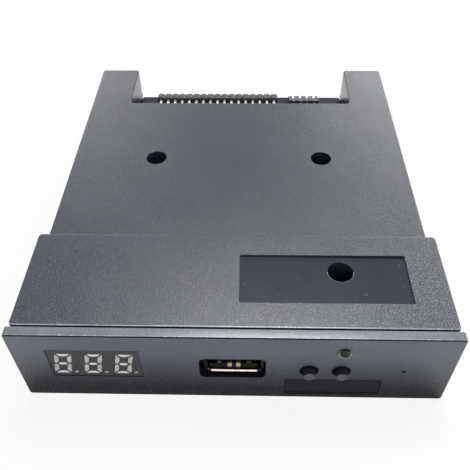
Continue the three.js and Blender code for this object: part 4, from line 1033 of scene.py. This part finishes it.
def smallParts(name, values, bodyMaterial):
    # a small block with a tinned cap at each end, in a row of copies
    (length, width, height), places = values["size"], values["places"]
    capFrom = length * small["capShare"]
    x, y = places[0]
    low = boardTop + small["lift"]
    block = startBlock(name, (x - length / 2, y - width / 2, low),
                       (x + length / 2, y + width / 2, low + height))
    for cutX in (x - capFrom, x + capFrom):
        selectAll(block)
        bpy.ops.mesh.bisect(plane_co=at(cutX, y, low), plane_no=(1, 0, 0))
        leaveEdit()
    roundEdges(block, small["edge"], segments=1)
    row = rowOf(name, block, [(px - x, py - y, 0) for px, py in places])
    dress(row, bodyMaterial)

    def onCap(centre, normal):
        return any(abs(centre.y - py) < width and capFrom < abs(centre.x - px) < length for px, py in places)

    repaint(row, tinPlate, onCap)


solderJoints("ribbon_solder", ribbonTails, joint)
solderJoints("power_solder", powerTails, joint)
makeMainChip(mainChip)
makeRegulator(regulator)
fromNode("crystal", "crystal_can", crystal["round"], canAluminium, crystal["segments"])
for k in (1, 2):
    makeCapacitor(can, k)
smallParts("chip_capacitors", smallCapacitors, tanCeramic)
smallParts("chip_resistors", smallResistors, chipEpoxy)
print("board ready")


# Push buttons, each on a switch with a snap dome under a pierced plate
button = {"tipRound": 0.12, "bend": (0, 30, 60, 90), "stem": 1.45, "flangeLength": 0.8, "flangeEdge": 0.05,
          "nub": 0.9, "nubLength": 0.6, "nubEdge": 0.08, "frontTilt": (-1.1, -0.8), "sides": 40}
switch = {"housingRound": 0.12, "plateRound": 0.06}
dome = {"thickness": 0.13, "steps": 4, "sides": 32}


def buttonProfile(values, low, high):
    tip, flangeEnd = low.y, high.y - values["nubLength"]
    flange, radius = flangeEnd - values["flangeLength"], (high.x - low.x) / 2
    stem, edge, nub = values["stem"], values["tipRound"], values["nub"]
    turns = [math.radians(angle) for angle in values["bend"]]
    corner = [(stem - edge * (1 - math.sin(a)), tip + edge * (1 - math.cos(a))) for a in turns]
    return [(0, tip), *corner, (stem, flange), (radius, flange), (radius, flangeEnd - values["flangeEdge"]),
            (radius - values["flangeEdge"], flangeEnd), (nub, flangeEnd), (nub, high.y - values["nubEdge"]),
            (nub - values["nubEdge"], high.y), (0, high.y)]


def domeProfile(values, low, high):
    radius, crown, steps, thickness = (high.x - low.x) / 2, low.y, values["steps"], values["thickness"]
    shares = [k / steps for k in range(steps + 1)]
    rise = [(share, crown + (high.y - thickness - crown) * share ** 2) for share in shares]
    outer = [(radius * share, y) for share, y in rise]
    inner = [(max(radius * share - thickness / 2, 0), y + thickness) for share, y in rise]
    return outer + inner[::-1]


def makeButton(side):
    low, high = nodeBox(f"{side}_button")
    axis = ((low.x + high.x) / 2, 0, (low.z + high.z) / 2)
    cap = turned(f"{side}_button_cap", axis, (0, 1, 0), buttonProfile(button, low, high), button["sides"])
    dress(cap, buttonAbs, f"{side}_button", [f"{side}_button"])
    tipBand = 2 * button["tipRound"]
    repaint(cap, tipAbs, zone(y=(low.y - tipBand, low.y + tipBand), ny=button["frontTilt"]))
    fromNode(f"{side}_switch_housing", f"{side}_switch_block", switch["housingRound"], blackNylon)
    fromNode(f"{side}_switch_plate", f"{side}_switch_cover", switch["plateRound"], springSteel)
    profile = domeProfile(dome, *nodeBox(f"{side}_switch_dome"))
    snap = turned(f"{side}_snap_dome", axis, (0, 1, 0), profile, dome["sides"])
    dress(snap, springSteel, stands=[f"{side}_switch_dome"])


for side in ("left", "right"):
    makeButton(side)
print("buttons ready")


# The lamp: a low-domed lens with a flange, and two leads bent down to the board
lamp = {"radius": 1.62, "out": 1.12, "domeSteps": 9, "back": 4.5, "flangeLength": 1, "flangeEdge": 0.08,
        "leadSide": 1.27, "lead": 0.5, "leadRoot": 1.5, "leadEnd": 0.05, "leadEdge": 0.05, "bend": 0.35,
        "jointScale": 0.8, "sides": 40}


def lensProfile(values, flange):
    radius, back, edge, steps = values["radius"], values["back"], values["flangeEdge"], values["domeSteps"]
    turns = [math.pi / 2 * k / steps for k in range(steps + 1)]
    domed = [(radius * math.sin(a), -values["out"] * math.cos(a)) for a in turns]
    front = back - values["flangeLength"]
    return domed + [(radius, front), (flange, front), (flange, back - edge), (flange - edge, back), (0, back)]


def makeLamp(values):
    low, high = nodeBox("status_lamp")
    x, flange = (low.x + high.x) / 2, (high.x - low.x) / 2
    z, bendY = high.z - flange, high.y - values["lead"] / 2
    lens = turned("lamp_lens", (x, 0, z), (0, 1, 0), lensProfile(values, flange), values["sides"])
    dress(lens, lampLens, stands=["status_lamp"])
    places = []
    for name, side in (("left", -1), ("right", 1)):
        leadX = x + side * values["leadSide"]
        path = [(leadX, values["back"] - values["leadRoot"], z), (leadX, values["back"], z),
                (leadX, bendY - values["bend"], z), (leadX, bendY, z - values["bend"]),
                (leadX, bendY, boardTop + values["leadEnd"])]
        lead = bentStrip(f"lamp_lead_{name}", path, values["lead"], values["lead"])
        dress(roundEdges(lead, values["leadEdge"], segments=1), tinPlate)
        places.append((leadX, bendY))
    solderJoints("lamp_solder", places, joint, values["jointScale"])


makeLamp(lamp)
print("lamp ready")


# A sweep of white paper, a white studio, and soft light from above and behind, placed in metres
stage = {"floorSize": 3, "paper": "#f1f1ef", "fibre": "#ececea", "fibreSize": 3, "lensShare": 0.88,
         "mirrorShare": 0, "skyLight": 0.25}
softboxes = [
    {"name": "side_right_softbox", "place": (0.85, 0.8, 0.75), "size": 0.7, "power": 6.2},
    {"name": "overhead_softbox", "place": (0.04, 0.33, 0.93), "size": 0.3, "power": 6.4},
    {"name": "rear_left_softbox", "place": (-0.5, 1.15, 0.45), "size": 0.5, "power": 2.3},
    {"name": "rear_right_softbox", "place": (0.45, 1.2, 0.45), "size": 0.5, "power": 4},
    {"name": "front_left_softbox", "place": (-0.3, -1.2, 0.35), "size": 0.8, "power": 2.5},
    {"name": "front_right_softbox", "place": (0.95, -0.9, 0.3), "size": 0.6, "power": 4.4},
    {"name": "front_high_softbox", "place": (0.12, -0.85, 0.95), "size": 0.4, "power": 1},
]


def whiteRays(owner, lensShare, mirrorShare):  # how much plain white the lens and mirrored rays meet
    rays = addNode(owner, "ShaderNodeLightPath").outputs
    lens = addNode(owner, "ShaderNodeMath", {"operation": "MULTIPLY", 0: rays["Is Camera Ray"], 1: lensShare})
    mirrored = addNode(owner, "ShaderNodeMath", {
        "operation": "MAXIMUM", 0: rays["Is Glossy Ray"], 1: rays["Is Transmission Ray"]})
    return addNode(owner, "ShaderNodeMath", {
        "operation": "MULTIPLY_ADD", 0: mirrored.outputs[0], 1: mirrorShare, 2: lens.outputs[0]}).outputs[0]


def addFloor(values):
    deselectAll()
    bpy.ops.mesh.primitive_plane_add(size=values["floorSize"], location=(0, 0, -near))
    floor = settle(bpy.context.active_object, "paper_floor")
    # Matt paper: near white to the lens, and it keeps the object's shadow
    material, place = newMaterial("paper_matt")
    fibre = addNode(material, "ShaderNodeTexNoise", {
        "Scale": 1 / (values["fibreSize"] * mm), "Detail": 3, "Vector": place}).outputs[0]
    colour = coats(material, toLinear(values["paper"]), (fibre, toLinear(values["fibre"])))
    paper = addNode(material, "ShaderNodeBsdfPrincipled", {
        "Base Color": colour, "Roughness": 0.9, "Specular IOR Level": 0.2}).outputs[0]
    white = addNode(material, "ShaderNodeEmission", {"Color": grey(1), "Strength": 1}).outputs[0]
    share = whiteRays(material, values["lensShare"], values["mirrorShare"])
    mix = addNode(material, "ShaderNodeMixShader", {0: share, 1: paper, 2: white})
    addNode(material, "ShaderNodeOutputMaterial", {"Surface": mix.outputs[0]})
    floor.data.materials.append(material)


def addWorld(values):
    world = bpy.data.worlds.new("white_studio")
    scene.world = world
    world.use_nodes = True
    world.node_tree.nodes.clear()
    strength = addNode(world, "ShaderNodeMapRange", {
        "Value": whiteRays(world, lensShare=1, mirrorShare=1), "To Min": values["skyLight"],
        "To Max": 1}).outputs[0]
    sky = addNode(world, "ShaderNodeBackground", {"Color": grey(1), "Strength": strength})
    addNode(world, "ShaderNodeOutputWorld", {"Surface": sky.outputs[0]})


def addSoftbox(values):
    data = bpy.data.lights.new(values["name"], "AREA")
    data.size = values["size"]
    data.energy = values["power"]
    softbox = bpy.data.objects.new(values["name"], data)
    softbox.location = values["place"]
    softbox.rotation_euler = (-Vector(values["place"])).to_track_quat("-Z", "Y").to_euler()
    scene.collection.objects.link(softbox)


addFloor(stage)
addWorld(stage)
for values in softboxes:
    addSoftbox(values)
scene.view_settings.view_transform = "Standard"
print("floor and light ready")

deselectAll()
